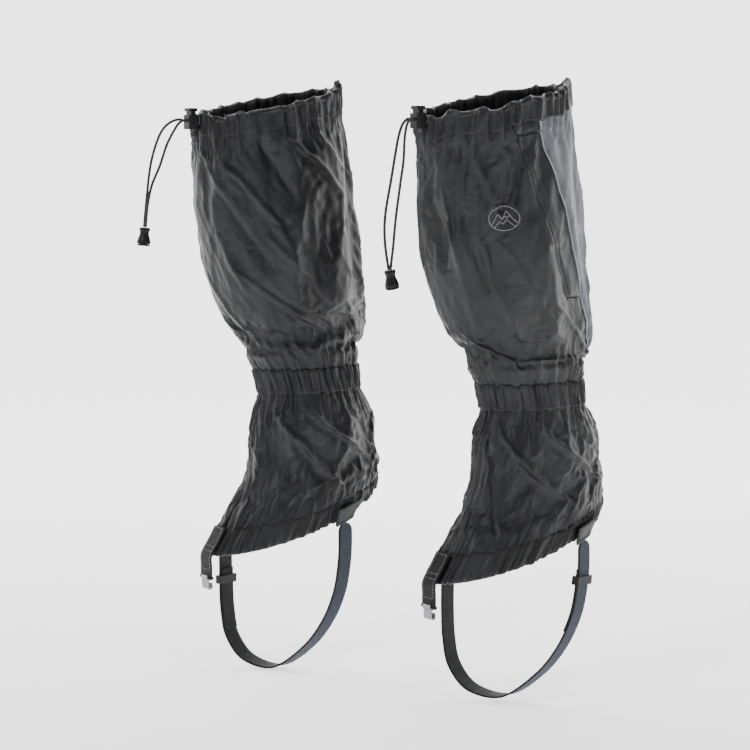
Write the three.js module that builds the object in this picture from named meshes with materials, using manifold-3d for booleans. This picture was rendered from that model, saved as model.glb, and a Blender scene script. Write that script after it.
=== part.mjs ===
// A pair of hiking gaiters, stood upright as worn: fabric leg tubes with a drawcord at the top,
// elastic at the ankle and the hem, a lace hook at the toe and a webbing strap under the instep.
// Millimetres, +Z up, toes towards -X, origin midway between the two ankles.
import * as THREE from "three";
import { LoftGeometry } from "three/addons/geometries/LoftGeometry.js";
import { mergeVertices } from "three/addons/utils/BufferGeometryUtils.js";
import Module from "manifold-3d";

const wasm = await Module();
wasm.setup();
const { CubicInterpolant, Group, Matrix4, Mesh, MeshStandardMaterial, Shape, Vector2, Vector3 } = THREE;

// ---------------------------------------------------------------- driving dimensions

const CLEARANCE = 0.3; // between pieces that touch
const FABRIC = 1.0; // a panel's thickness, folds and lining included
const TAPE = 0.6; // hook tape and loop tape
const CASING_WALL = 0.8; // the folded strip of a casing

// The leg's outline from the rim down: distance along the wall, front x and z, rear x and z,
// half the width across, and how far the sides drop below a straight line from front to rear.
const OUTLINE = [
  [0, -120, 254, 28, 282, 54, 0],
  [22, -122, 232, 31, 259, 56, 0],
  [70, -119, 186, 40, 204, 58, 0],
  [118, -112, 140, 49, 150, 60, 0],
  [166, -99, 96, 57, 103, 57, 0],
  [212, -80, 54, 59, 60, 50, 0],
  [240, -68, 28, 55, 32, 44, 0],
  [260, -56, 10, 51, 12, 38, 0],
  [278, -52, -8, 54, -6, 38, 0],
  [302, -63, -32, 68, -28, 43, 0],
  [338, -71, -70, 76, -58, 46, 1],
  [378, -88, -118, 78, -86, 47, 4],
  [414, -112, -160, 72, -108, 44, 7],
];
const HEM = 414; // the hem's distance from the rim along the wall
const ANKLE = 268; // the seam between the leg and the boot panels

// The rear panel's seam, as an angle from the toe round the outer side, and its inner edge.
const SEAM_ANGLES = [[0, 90], [100, 112], [180, 128], [268, 158]];
const REAR_EDGE_ANGLE = 195;
const REAR_LAP_ANGLE = 8;
const FLAP_ANGLE = 20;
const FLAP_TOP = 28;
const FLAP_BOTTOM = 172;
const FLAP_END_GAP = 1.4; // room for the flap's slanted ends to turn

const CASING_DEPTH = 20; // the drawcord casing's height
const PANEL_TOP = 8; // the panels' top edge, under the drawcord
const CORD_DIAMETER = 2.5;
const CORD_DOWN = 4.3; // the drawcord's axis below the rim
const CORD_ROOM = 0.3; // beside the drawcord in its casing
const CORD_END_GAP = 0.16 * CORD_DIAMETER; // under the strands' ends, which lean a little to each other

const ANKLE_BAND_HEIGHT = 24;
const ANKLE_ELASTIC = 1.2;
const HEM_BAND_HEIGHT = 22;
const HEM_ELASTIC_DIAMETER = 2.4;
const HEM_FOLD = 8; // the height of the fold that holds the hem's elastic

const EYELET = { hole: 4.4, flange: 6.4, wall: 0.6 };
const LOCK = { width: 13, depth: 10, wall: 1.6, corner: 2, stemDepth: 5, bridge: 1.4, travel: 3, head: 3 };
const SPRING = { radius: 1.6, wire: 0.5, turns: 3 };
const BELL = { height: 15, top: 5, neck: 4.3, mouth: 6.2, wall: 1.2, cap: 2.4 };

const STRAP_WIDTH = 18;
const STRAP_THICKNESS = 1.8;
const STRAP_TAB = { topWidth: 28, top: 397, bottom: 417, thickness: 1.4 };
const SWING_CLEARANCE = 0.8; // between a tab and the strap's round end
const STRAP_DROP = 122; // the strap's lowest point below its ends
// The strap's shape between its ends: the share of the way across and the share of the drop.
const STRAP_SHAPE = [
  [0, 0.12], [0.01, 0.26], [0.05, 0.48], [0.15, 0.7], [0.31, 0.88], [0.57, 1], [0.82, 0.89],
  [0.95, 0.69], [0.99, 0.48], [1, 0.26], [1, 0.12],
];
const TAIL = { start: 26, length: 62, thickness: 1.3 };
const SLIDER = { wall: 1.5, height: 8, play: 0.45, start: 33 };

const TOE_TAB = { width: 20, thickness: 1.6, top: 392, drop: 21 };
const HOOK = { width: 11, thickness: 1.1, bead: 1.7, play: 0.3, lip: 40, reach: 6, throat: 1.6, rise: 3.5 };
const EMBLEM = { width: 27, height: 24, down: 82, angle: 62, thickness: 0.5 };

// What differs between the two. The outer side is towards +Y on the right leg and -Y on the left.
// The drawcord's two strands are given as [x, z] points from its lock down to its end.
const GAITERS = [
  {
    name: "right", side: 1, place: [-104, 70], toeOut: 35, strapOuter: 58, strapInner: 249.6,
    strands: {
      upper: [
        [-139, 250.6], [-145, 250], [-151, 247.6], [-157, 243], [-162, 236], [-166, 227],
        [-169.5, 217], [-172, 207], [-174, 195], [-175.5, 183], [-177, 171], [-178.2, 160],
        [-179, 152],
      ],
      lower: [
        [-139, 249.6], [-143.5, 246.5], [-148, 240.5], [-152.5, 233.5], [-156.5, 226], [-160, 217],
        [-163.5, 208], [-168, 199], [-172, 190.5], [-174.8, 181], [-176.8, 171], [-178.2, 160],
        [-179, 152],
      ],
    },
  },
  {
    name: "left", side: -1, place: [104, -70], toeOut: 35, strapOuter: 120.7, strapInner: 297.5,
    strands: {
      upper: [
        [-139, 249.8], [-143.5, 246.5], [-147, 240], [-149.5, 232], [-151.5, 223], [-153.5, 213],
        [-155.5, 203], [-158, 191], [-160.5, 180], [-162.5, 169], [-163.6, 157], [-163.2, 145],
        [-161.5, 132], [-159.2, 120],
      ],
      lower: [
        [-138.5, 249.4], [-141.5, 245.5], [-143.6, 238], [-144.6, 229], [-145, 220], [-146, 210],
        [-148, 199], [-150, 187], [-152, 175], [-153.8, 163], [-155.2, 151], [-156.4, 140],
        [-157.8, 130], [-159.2, 120],
      ],
    },
  },
];

const AROUND = 24; // steps round a whole ring
const STEP = 360 / AROUND;
// Where every layer of the leg bends, as distances from the rim.
const ROWS = [28, 76, 124, 172, 212, 240, 256, 268, 280, 302, 338, 378, 392, 406, 414];

// ---------------------------------------------------------------- finishes

const finish = (color, roughness, metalness = 0) =>
  new MeshStandardMaterial({ color, roughness, metalness });
const FINISH = {
  shell: () => finish(0x222326, 0.55),
  grey: () => finish(0x6f7276, 0.7),
  lining: () => finish(0x1b1c1e, 0.8),
  tape: () => finish(0x161617, 0.95),
  webbing: () => finish(0x2c3038, 0.65),
  elastic: () => finish(0x18191a, 0.85),
  cord: () => finish(0x1d1d20, 0.75),
  metal: () => finish(0xa9abad, 0.3, 1),
  plastic: () => finish(0x121213, 0.4),
  thread: () => finish(0xb9babc, 0.6),
};

// ---------------------------------------------------------------- small helpers

const radians = THREE.MathUtils.degToRad;

// A smooth curve through rows of [place, value, ...], read as rowsCurve(place) -> values.
function smoothRows(rows) {
  const places = rows.map((row) => row[0]);
  const values = rows.flatMap((row) => row.slice(1));
  const curve = new CubicInterpolant(places, values, rows[0].length - 1);
  return (place) => Array.from(curve.evaluate(place));
}

// The same geometry as one closed surface whose faces point out, without faces of no area.
function closed(geometry) {
  const bare = new THREE.BufferGeometry();
  const source = geometry.index ? geometry.toNonIndexed() : geometry;
  bare.setAttribute("position", source.getAttribute("position"));
  const merged = mergeVertices(bare, 1e-3);
  const points = merged.attributes.position;
  const at = (i) => new Vector3().fromBufferAttribute(points, i);
  const faces = [];
  let volume = 0;
  for (let i = 0; i < merged.index.count; i += 3) {
    const [a, b, c] = merged.index.array.slice(i, i + 3);
    if (a === b || b === c || c === a) continue;
    faces.push([a, b, c]);
    volume += at(a).dot(at(b).cross(at(c)));
  }
  merged.setIndex(faces.flatMap(([a, b, c]) => (volume < 0 ? [a, c, b] : [a, b, c])));
  return merged;
}

const toManifold = (geometry) => {
  const shell = closed(geometry);
  return new wasm.Manifold(
    new wasm.Mesh({
      numProp: 3,
      vertProperties: shell.attributes.position.array,
      triVerts: new Uint32Array(shell.index.array),
    }),
  );
};

function fromManifold(solid) {
  const mesh = solid.getMesh();
  const geometry = new THREE.BufferGeometry();
  geometry.setAttribute("position", new THREE.BufferAttribute(mesh.vertProperties, 3));
  geometry.setIndex(new THREE.BufferAttribute(mesh.triVerts, 1));
  return geometry;
}

const cut = (geometry, ...tools) =>
  fromManifold(tools.reduce((left, tool) => left.subtract(toManifold(tool)), toManifold(geometry)));
const join = (geometry, ...others) =>
  fromManifold(others.reduce((all, other) => all.add(toManifold(other)), toManifold(geometry)));
const common = (geometry, other) => fromManifold(toManifold(geometry).intersect(toManifold(other)));

// A loft whose last section is its first again, so that it closes into a ring.
const ringLoft = (sections) => new LoftGeometry([...sections, sections[0]], { closed: true });
const loft = (sections) => new LoftGeometry(sections, { closed: true, capStart: true, capEnd: true });

function tube(curve, diameter, steps, sides) {
  const section = new Shape();
  for (let i = 0; i < sides; i++) {
    const angle = (2 * Math.PI * i) / sides;
    const point = new Vector2(Math.cos(angle), Math.sin(angle)).multiplyScalar(diameter / 2);
    if (i) section.lineTo(point.x, point.y);
    else section.moveTo(point.x, point.y);
  }
  return new THREE.ExtrudeGeometry(section, { steps, extrudePath: curve, bevelEnabled: false });
}

// A flat outline of [x, z] points, made as thick as its width, centred across Y.
function plate(points, width) {
  const shape = new Shape(points.map(([x, z]) => new Vector2(x, z)));
  const solid = new THREE.ExtrudeGeometry(shape, { depth: width, bevelEnabled: false, curveSegments: 8 });
  return solid.translate(0, 0, -width / 2).rotateX(Math.PI / 2);
}

const box = (width, depth, height, x, y, z) =>
  new THREE.BoxGeometry(width, depth, height).translate(x, y, z);

// ---------------------------------------------------------------- the leg's surface

const outline = smoothRows(OUTLINE);
const seamAngle = (down) => smoothRows(SEAM_ANGLES)(down)[0];
const flapRootAngle = (down) => seamAngle(down) - FLAP_ANGLE;

// A point on the leg: down is the distance from the rim, angle runs from the toe round the outer
// side, and depth goes inwards from the middle of the fabric.
function legPoint(side, down, angle, depth = 0) {
  const [frontX, frontZ, rearX, rearZ, half, belly] = outline(Math.max(0, down));
  const turn = radians(angle);
  const x = (frontX + rearX) / 2 - Math.cos(turn) * ((rearX - frontX) / 2 - depth);
  const y = side * Math.sin(turn) * (half - depth);
  const drop = belly * Math.sin(turn) ** 2;
  const level = THREE.MathUtils.lerp(frontZ, rearZ, (1 - Math.cos(turn)) / 2);
  return new Vector3(x, y, level - drop - Math.max(0, down - HEM));
}

// How many degrees of the leg's surface a length along it covers.
function spanAngle(down, length) {
  const [frontX, , rearX, , half] = outline(down);
  const radius = Math.sqrt((((rearX - frontX) / 2) ** 2 + half ** 2) / 2);
  return THREE.MathUtils.radToDeg(length / radius);
}

// The rows that every layer bends at between two distances from the rim, with both ends.
const rowsBetween = (from, to) => [from, ...ROWS.filter((row) => row > from && row < to), to];

// A whole layer of the leg, its outer face at the depth that face(angle) gives.
function layer(side, top, bottom, face, thickness) {
  const rows = rowsBetween(top, bottom);
  const sections = even(0, 360 - STEP, AROUND - 1).map((angle) => [
    ...rows.map((down) => legPoint(side, down, angle, face(angle))),
    ...rows.map((down) => legPoint(side, down, angle, face(angle) + thickness)).reverse(),
  ]);
  return ringLoft(sections);
}

// A block that reaches through every layer, from one angle to another at each distance down.
function sector(side, top, bottom, from, to) {
  const [outside, inside, steps] = [-12, 12, 8];
  const section = (down, outer, inner) => {
    const edge = (depth) =>
      even(from(down), to(down), steps).map((angle) => legPoint(side, down, angle, depth));
    return [...edge(outer), ...edge(inner).reverse()];
  };
  // Each end is closed by a last section drawn in to the middle of the thickness.
  const walls = rowsBetween(top, bottom).map((down) => section(down, outside, inside));
  const sections = [section(top, 0, 0), ...walls, section(bottom, 0, 0)];
  return new LoftGeometry(sections, { closed: true });
}

// A panel cut from a layer between two angles, with its outer face at a depth or at face(angle).
function panel(side, [top, bottom], from, to, face, thickness) {
  const faceAt = typeof face === "function" ? face : () => face;
  const block = sector(side, top - 4, bottom + 4, from, to);
  return common(layer(side, top, bottom, faceAt, thickness), block);
}

// A band right round the leg, from its cross-section as [down, depth] points.
function band(side, section) {
  const ring = even(0, 360 - STEP, AROUND - 1);
  return ringLoft(ring.map((angle) => section.map(([down, depth]) => legPoint(side, down, angle, depth))));
}

const fixed = (value) => () => value;
const even = (from, to, count) =>
  Array.from({ length: count + 1 }, (_, i) => from + ((to - from) * i) / count);

// ---------------------------------------------------------------- leg and boot panels

const LEG_FACE = -FABRIC / 2;
const HOOK_TAPE_FACE = LEG_FACE + FABRIC + CLEARANCE;
const LOOP_TAPE_FACE = HOOK_TAPE_FACE + TAPE + CLEARANCE;
const REAR_FACE = LOOP_TAPE_FACE + TAPE + CLEARANCE;
const SEAM_GAP_ANGLE = 0.4;
const TAPE_MARGIN_ANGLE = 3;
const REAR_RISE_ANGLE = 34; // over which the rear panel comes out to meet the main panel's edge

const LEG_ROWS = [PANEL_TOP, ANKLE - CLEARANCE / 2];

function mainPanel({ side }) {
  const body = panel(side, LEG_ROWS, fixed(REAR_EDGE_ANGLE - 360), seamAngle, LEG_FACE, FABRIC);
  const past = (down) => seamAngle(down) + FLAP_ANGLE;
  return cut(body, sector(side, FLAP_TOP, FLAP_BOTTOM, flapRootAngle, past));
}

function rearPanel({ side }) {
  const lapFace = LEG_FACE + FABRIC + CLEARANCE;
  const start = SEAM_ANGLES[0][1] - FLAP_ANGLE;
  const end = REAR_EDGE_ANGLE + REAR_LAP_ANGLE;
  const foot = REAR_EDGE_ANGLE - REAR_RISE_ANGLE;
  const rise = (angle) => THREE.MathUtils.smoothstep(angle, foot, REAR_EDGE_ANGLE);
  const face = (angle) => THREE.MathUtils.lerp(REAR_FACE, lapFace, angle < start ? 1 : rise(angle));
  const from = (down) => flapRootAngle(down) + 3;
  return panel(side, LEG_ROWS, from, fixed(end), face, FABRIC * 0.8);
}

function closureFlap({ side }) {
  const ends = [FLAP_TOP + FLAP_END_GAP, FLAP_BOTTOM - FLAP_END_GAP];
  const from = (down) => flapRootAngle(down) + SEAM_GAP_ANGLE;
  return panel(side, ends, from, seamAngle, LEG_FACE, FABRIC);
}

function closureTape({ side }, face) {
  const from = (down) => flapRootAngle(down) + TAPE_MARGIN_ANGLE;
  const to = (down) => seamAngle(down) - TAPE_MARGIN_ANGLE;
  return panel(side, [FLAP_TOP + 6, FLAP_BOTTOM - 6], from, to, face, TAPE);
}

function bootPanel({ side }, from, to) {
  const bottom = HEM - HEM_FOLD - 1;
  const gap = SEAM_GAP_ANGLE / 2;
  const ends = [ANKLE + CLEARANCE / 2, bottom];
  return panel(side, ends, fixed(from + gap), fixed(to - gap), LEG_FACE, FABRIC);
}

// ---------------------------------------------------------------- bands and elastics

// The folded strip that the drawcord runs in, open underneath where it is sewn to the panels.
function topCasing({ side }) {
  const room = CORD_DIAMETER / 2 + CORD_ROOM;
  const sewn = FABRIC / 2 + CLEARANCE;
  const inner = REAR_FACE + FABRIC + CLEARANCE;
  const wall = CASING_WALL;
  const outerLeg = [[CASING_DEPTH, -sewn], [PANEL_TOP, -sewn], [PANEL_TOP - 2, -room], [1.8, -room]];
  const innerLeg = [[1.8, room], [PANEL_TOP - 2, room + 0.6], [PANEL_TOP, inner], [CASING_DEPTH, inner]];
  const outside = [
    [CASING_DEPTH, inner + wall], [PANEL_TOP, inner + wall], [PANEL_TOP - 2, inner], [1, room + 0.5],
    [0, 0], [1, -room - 0.5], [PANEL_TOP - 2, -room - wall], [PANEL_TOP, -sewn - wall],
    [CASING_DEPTH, -sewn - wall],
  ];
  const ring = band(side, [...outerLeg, [wall, 0], ...innerLeg, ...outside]);
  return cut(ring, eyeletHole({ side }));
}

// Where the drawcord leaves its casing, at the very front.
const eyeletPlace = ({ side }) =>
  legPoint(side, CORD_DOWN, 0, -(CORD_DIAMETER / 2 + CORD_ROOM + CASING_WALL / 2));

const alongX = (geometry, place) => geometry.rotateZ(Math.PI / 2).translate(place.x, place.y, place.z);

function eyeletHole(gaiter) {
  const radius = EYELET.hole + EYELET.wall + CLEARANCE;
  const hole = new THREE.CylinderGeometry(radius, radius, 4, 16);
  return alongX(hole, eyeletPlace(gaiter));
}

function eyelet(gaiter) {
  const { hole, flange, wall } = EYELET;
  const inside = -CASING_WALL / 2;
  const seat = CASING_WALL / 2 + CLEARANCE;
  const profile = [
    [hole, inside], [hole + wall, inside], [hole + wall, seat], [flange, seat],
    [flange, seat + wall], [hole, seat + wall], [hole, inside],
  ].map(([radius, height]) => new Vector2(radius, height));
  return alongX(new THREE.LatheGeometry(profile, 16), eyeletPlace(gaiter));
}

function ankleCasing({ side }) {
  const sewn = -(FABRIC / 2 + CLEARANCE);
  const face = sewn - ANKLE_ELASTIC - CLEARANCE - CASING_WALL;
  const top = ANKLE - ANKLE_BAND_HEIGHT / 2;
  const bottom = ANKLE + ANKLE_BAND_HEIGHT / 2;
  const wall = CASING_WALL;
  return band(side, [
    [top, sewn], [top, face], [ANKLE, face], [bottom, face], [bottom, sewn], [bottom - wall, sewn],
    [bottom - wall, face + wall], [ANKLE, face + wall], [top + wall, face + wall], [top + wall, sewn],
  ]);
}

function ankleElastic({ side }) {
  const face = -(FABRIC / 2 + CLEARANCE) - ANKLE_ELASTIC;
  const half = ANKLE_BAND_HEIGHT / 2 - CASING_WALL - CLEARANCE;
  const inner = face + ANKLE_ELASTIC;
  return band(side, [
    [ANKLE - half, inner], [ANKLE - half, face], [ANKLE, face], [ANKLE + half, face],
    [ANKLE + half, inner], [ANKLE, inner],
  ]);
}

// The binding folded round the bottom edge, with a round elastic in its fold.
function hemCasing({ side }) {
  const sewn = FABRIC / 2 + CLEARANCE;
  const room = HEM_ELASTIC_DIAMETER / 2 + CLEARANCE;
  const wall = CASING_WALL;
  const top = HEM - HEM_BAND_HEIGHT;
  const foldTop = HEM - HEM_FOLD;
  const leg = (sign) => [[top, sign * sewn], [foldTop, sign * room], [HEM - wall - 1, sign * room]];
  const face = (sign) => [
    [HEM - 1, sign * (room + wall)], [foldTop, sign * (room + wall)], [top, sign * (sewn + wall)],
  ];
  return band(side, [
    ...leg(-1), [HEM - wall, -room / 2], [HEM - wall, room / 2], ...leg(1).reverse(),
    ...face(1).reverse(), [HEM, room], [HEM, -room], ...face(-1),
  ]);
}

function hemElastic({ side }) {
  const radius = HEM_ELASTIC_DIAMETER / 2;
  const down = HEM - CASING_WALL - CLEARANCE - radius - 1;
  const section = even(0, 300, 5).map((angle) => [
    down + radius * Math.cos(radians(angle)), radius * Math.sin(radians(angle)),
  ]);
  return band(side, section);
}

// ---------------------------------------------------------------- drawcord

const CORD_APART = CORD_DIAMETER / 2 + CLEARANCE / 2; // each strand's distance from the middle
const CORD_TURN_ANGLE = 12; // where the strands turn out of the casing

const cordAxis = (gaiter, angle) => legPoint(gaiter.side, CORD_DOWN, angle);

// The stretch inside the casing, right round the leg but for the turn at the front.
function drawcordInCasing({ side }) {
  const radius = CORD_DIAMETER / 2;
  const section = even(0, 300, 5).map((angle) => [
    CORD_DOWN + radius * Math.cos(radians(angle)), radius * Math.sin(radians(angle)),
  ]);
  const end = CORD_TURN_ANGLE + spanAngle(CORD_DOWN, CLEARANCE);
  return cut(band(side, section), sector(side, 0.5, 9, fixed(-end), fixed(end)));
}

// One strand: out of the casing, through the eyelet and the lock, and down to the cord end.
function strand(gaiter, route, sign) {
  const front = cordAxis(gaiter, 0);
  const sideways = cordAxis(gaiter, sign * gaiter.side * STEP);
  const inCasing = [CORD_TURN_ANGLE, 8].map((angle) => front.clone().lerp(sideways, angle / STEP));
  const turned = [[0.7, 4.2], [-1.3, 2.2], [-3.2, CORD_APART], [-9, CORD_APART], [-16, CORD_APART]];
  const outward = turned.map(([x, y]) => new Vector3(front.x + x, sign * y, front.z));
  const hanging = route.map(([x, z]) => new Vector3(x, sign * CORD_APART, z));
  const curve = new THREE.CatmullRomCurve3([...inCasing, ...outward, ...hanging]);
  return tube(curve, CORD_DIAMETER, 36, 8);
}

function roundedBlock(depth, width, height, corner) {
  const x = depth / 2 - corner;
  const y = width / 2 - corner;
  const shape = new Shape();
  shape.absarc(x, y, corner, 0, Math.PI / 2);
  shape.absarc(-x, y, corner, Math.PI / 2, Math.PI);
  shape.absarc(-x, -y, corner, Math.PI, 1.5 * Math.PI);
  shape.absarc(x, -y, corner, 1.5 * Math.PI, 2 * Math.PI);
  return new THREE.ExtrudeGeometry(shape, { depth: height, bevelEnabled: false, curveSegments: 3 });
}

// The lock's heights, measured from the cord's axis.
const slotHalf = CORD_DIAMETER / 2 + CLEARANCE;
const LOCK_TOP = slotHalf + LOCK.travel + LOCK.bridge / 2;
const STEM_FOOT = -slotHalf - LOCK.bridge;
const LOCK_FLOOR = STEM_FOOT - LOCK.travel - SPRING.wire;
const stemWidth = LOCK.width - 2 * LOCK.wall - 2 * CLEARANCE;
const slotWidth = 2 * CORD_APART + CORD_DIAMETER + 2 * CLEARANCE;

function lockPlace(gaiter) {
  const flangeFace = eyeletPlace(gaiter).x - CASING_WALL / 2 - CLEARANCE - EYELET.wall;
  return new Vector3(flangeFace - CLEARANCE - LOCK.depth / 2, 0, cordAxis(gaiter, 0).z);
}

const atLock = (gaiter, geometry) => geometry.translate(...lockPlace(gaiter).toArray());

function lockBody(gaiter) {
  const low = LOCK_FLOOR - LOCK.wall;
  const block = roundedBlock(LOCK.depth, LOCK.width, LOCK_TOP - low, LOCK.corner).translate(0, 0, low);
  const wellDepth = LOCK.stemDepth + 2 * CLEARANCE;
  const wellHeight = LOCK_TOP - LOCK_FLOOR + 1;
  const well = box(wellDepth, LOCK.width - 2 * LOCK.wall, wellHeight, 0, 0, LOCK_FLOOR + wellHeight / 2);
  const slot = box(LOCK.depth * 2, slotWidth, 2 * slotHalf, 0, 0, 0);
  return atLock(gaiter, cut(block, well, slot));
}

function lockPlunger(gaiter) {
  const headFoot = LOCK_TOP + LOCK.travel + CLEARANCE;
  const stem = box(LOCK.stemDepth, stemWidth, headFoot - STEM_FOOT, 0, 0, (headFoot + STEM_FOOT) / 2);
  const head = roundedBlock(LOCK.depth - 1, LOCK.width - 1, LOCK.head, LOCK.corner);
  head.translate(0, 0, headFoot);
  const windowHeight = 2 * slotHalf + LOCK.travel;
  const window = box(LOCK.depth * 2, slotWidth, windowHeight, 0, 0, windowHeight / 2 - slotHalf);
  return atLock(gaiter, cut(join(stem, head), window));
}

function lockSpring(gaiter) {
  const low = LOCK_FLOOR + CLEARANCE + SPRING.wire / 2;
  const high = STEM_FOOT - CLEARANCE - SPRING.wire / 2;
  const points = even(0, 1, SPRING.turns * 8).map((share) => {
    const turn = 2 * Math.PI * SPRING.turns * share;
    const height = THREE.MathUtils.lerp(low, high, share);
    return new Vector3(SPRING.radius * Math.cos(turn), SPRING.radius * Math.sin(turn), height);
  });
  const coil = tube(new THREE.CatmullRomCurve3(points), SPRING.wire, SPRING.turns * 8, 5);
  return atLock(gaiter, coil);
}

// Stands a lathed piece, whose top is at height 0, under the strands' ends and in line with them.
function underStrands({ strands }, geometry) {
  const [last, before] = [strands.upper.at(-1), strands.upper.at(-2)];
  const up = new Vector3(before[0] - last[0], 0, before[1] - last[1]).normalize();
  const turn = new Matrix4().makeRotationFromQuaternion(
    new THREE.Quaternion().setFromUnitVectors(new Vector3(0, 1, 0), up),
  );
  const top = new Vector3(last[0], 0, last[1]).addScaledVector(up, -CORD_END_GAP);
  return geometry.applyMatrix4(turn).translate(top.x, top.y, top.z);
}

const lathe = (points) =>
  new THREE.LatheGeometry(points.map(([radius, height]) => new Vector2(radius, height)), 16);

function cordEndBell(gaiter) {
  const { height, top, neck, mouth, wall } = BELL;
  const foot = -height;
  return underStrands(gaiter, lathe([
    [0, -wall * 2], [neck - wall, -wall * 2.5], [mouth - wall, foot], [mouth, foot], [mouth, foot + 2.5],
    [neck + 0.7, foot + 6.5], [neck, -6], [neck, -3.4], [top, -2.6], [top, -0.8], [top - 0.8, 0], [0, 0],
  ]));
}

function cordEndCap(gaiter) {
  const { height, mouth, wall, cap } = BELL;
  const foot = -height - CLEARANCE;
  const plug = mouth - wall - CLEARANCE * 2;
  return underStrands(gaiter, lathe([
    [0, foot + cap * 0.6], [plug - 0.6, foot + cap * 0.6], [plug - 0.2, foot], [mouth, foot],
    [mouth, foot - 0.8], [mouth - 1.2, foot - cap * 0.7], [0, foot - cap * 0.7],
  ]));
}

// ---------------------------------------------------------------- toe tab and lace hook

function toeTabLine({ side }) {
  const face = -(HEM_ELASTIC_DIAMETER / 2 + CLEARANCE + CASING_WALL + CLEARANCE);
  const upper = legPoint(side, TOE_TAB.top, 0, face);
  const hem = legPoint(side, HEM, 0, face - 0.6);
  return [upper, hem, new Vector3(hem.x, 0, hem.z - TOE_TAB.drop)];
}

const beadCentre = (gaiter) => {
  const foot = toeTabLine(gaiter).at(-1);
  return new Vector3(foot.x - TOE_TAB.thickness / 2, 0, foot.z);
};

function toeTab(gaiter) {
  const line = toeTabLine(gaiter);
  const inner = line.map((point) => [point.x, point.z]);
  const outer = line.map((point) => [point.x - TOE_TAB.thickness, point.z]);
  const web = plate([...inner, ...outer.reverse()], TOE_TAB.width);
  const bead = new THREE.CylinderGeometry(HOOK.bead, HOOK.bead, TOE_TAB.width, 16);
  const centre = beadCentre(gaiter);
  return join(web, bead.translate(centre.x, 0, centre.z));
}

// A strip of steel curled round the bead at the tab's foot, with a hook that opens to the boot.
function laceHook(gaiter) {
  const { width, thickness, bead, play, lip, reach, throat, rise } = HOOK;
  const inner = bead + play;
  const outer = inner + thickness;
  const curl = new Shape();
  curl.absarc(0, 0, outer, radians(lip - 360) + Math.PI - radians(2 * lip), radians(lip), false);
  curl.absarc(0, 0, inner, radians(lip), radians(lip - 360) + Math.PI - radians(2 * lip), true);
  const half = thickness / 2;
  const low = -outer - reach;
  const jay = new Shape();
  jay.moveTo(-half, -inner - half);
  jay.lineTo(-half, low);
  jay.absarc(throat + half, low, throat + thickness, Math.PI, 2 * Math.PI, false);
  jay.lineTo(2 * throat + thickness + half, low + rise);
  jay.lineTo(2 * throat + half, low + rise);
  jay.absarc(throat + half, low, throat, 2 * Math.PI, Math.PI, true);
  jay.lineTo(half, -inner - half);
  const extrude = (shape) => {
    const options = { depth: width, bevelEnabled: false, curveSegments: 10 };
    return new THREE.ExtrudeGeometry(shape, options).translate(0, 0, -width / 2).rotateX(Math.PI / 2);
  };
  const centre = beadCentre(gaiter);
  const shank = extrude(jay).translate(-(throat + thickness) / 2, 0, 0); // hangs level under the bead
  return join(extrude(curl), shank).translate(centre.x, 0, centre.z);
}

// ---------------------------------------------------------------- instep strap

const TAB_FACE = -(HEM_ELASTIC_DIAMETER / 2 + 2 * CLEARANCE + CASING_WALL + STRAP_TAB.thickness);

function strapTab({ side }, angle) {
  const { topWidth, top, bottom, thickness } = STRAP_TAB;
  const half = (down) => {
    const share = (down - top) / (bottom - top);
    return spanAngle(HEM, THREE.MathUtils.lerp(topWidth, STRAP_WIDTH, share) / 2);
  };
  const from = (down) => angle - half(down);
  const to = (down) => angle + half(down);
  return panel(side, [top, bottom], from, to, TAB_FACE, thickness);
}

// The strap's end turns about a point half its width below its top, where its end is round.
function strapPivot({ side }, angle) {
  const pivot = legPoint(side, STRAP_TAB.bottom, angle, TAB_FACE + STRAP_TAB.thickness / 2);
  return pivot.setZ(pivot.z - SWING_CLEARANCE - STRAP_WIDTH / 2);
}

// The strap's middle line, from its outer end to its inner end.
function strapCurve(gaiter) {
  const outer = strapPivot(gaiter, gaiter.strapOuter);
  const inner = strapPivot(gaiter, gaiter.strapInner);
  const rise = new Vector3(0, 0, STRAP_WIDTH / 2);
  const hanging = STRAP_SHAPE.map(([across, drop]) => {
    const share = gaiter.side < 0 ? across : 1 - across;
    const point = outer.clone().lerp(inner, share);
    return point.setZ(point.z - drop * STRAP_DROP);
  });
  if (gaiter.side > 0) hanging.reverse();
  const points = [outer.clone().add(rise), outer, ...hanging, inner, inner.clone().add(rise)];
  return new THREE.CatmullRomCurve3(points);
}

// The strap's own directions at a distance along it: along, across its width, and out of its face.
function strapFrame(gaiter, distance) {
  const curve = strapCurve(gaiter);
  const share = distance / curve.getLength();
  const along = curve.getTangentAt(share);
  const edgeOn = (angle, sign) => {
    const step = legPoint(gaiter.side, HEM, angle + sign).sub(legPoint(gaiter.side, HEM, angle - sign));
    return step.setZ(0).normalize();
  };
  const across = edgeOn(gaiter.strapOuter, 1).lerp(edgeOn(gaiter.strapInner, -1), share);
  across.addScaledVector(along, -across.dot(along)).normalize();
  const out = new Vector3().crossVectors(along, across).normalize();
  return { centre: curve.getPointAt(share), along, across, out };
}

// A flat ribbon on the strap's line, shifted along its face's direction.
function ribbon(gaiter, distances, widthAt, thickness, shift) {
  const sections = distances.map((distance) => {
    const { centre, across, out } = strapFrame(gaiter, distance);
    const half = widthAt(distance) / 2;
    const corner = (a, b) =>
      centre.clone().addScaledVector(across, a * half).addScaledVector(out, shift + (b * thickness) / 2);
    return [corner(-1, -1), corner(1, -1), corner(1, 1), corner(-1, 1)];
  });
  return loft(sections);
}

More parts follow.
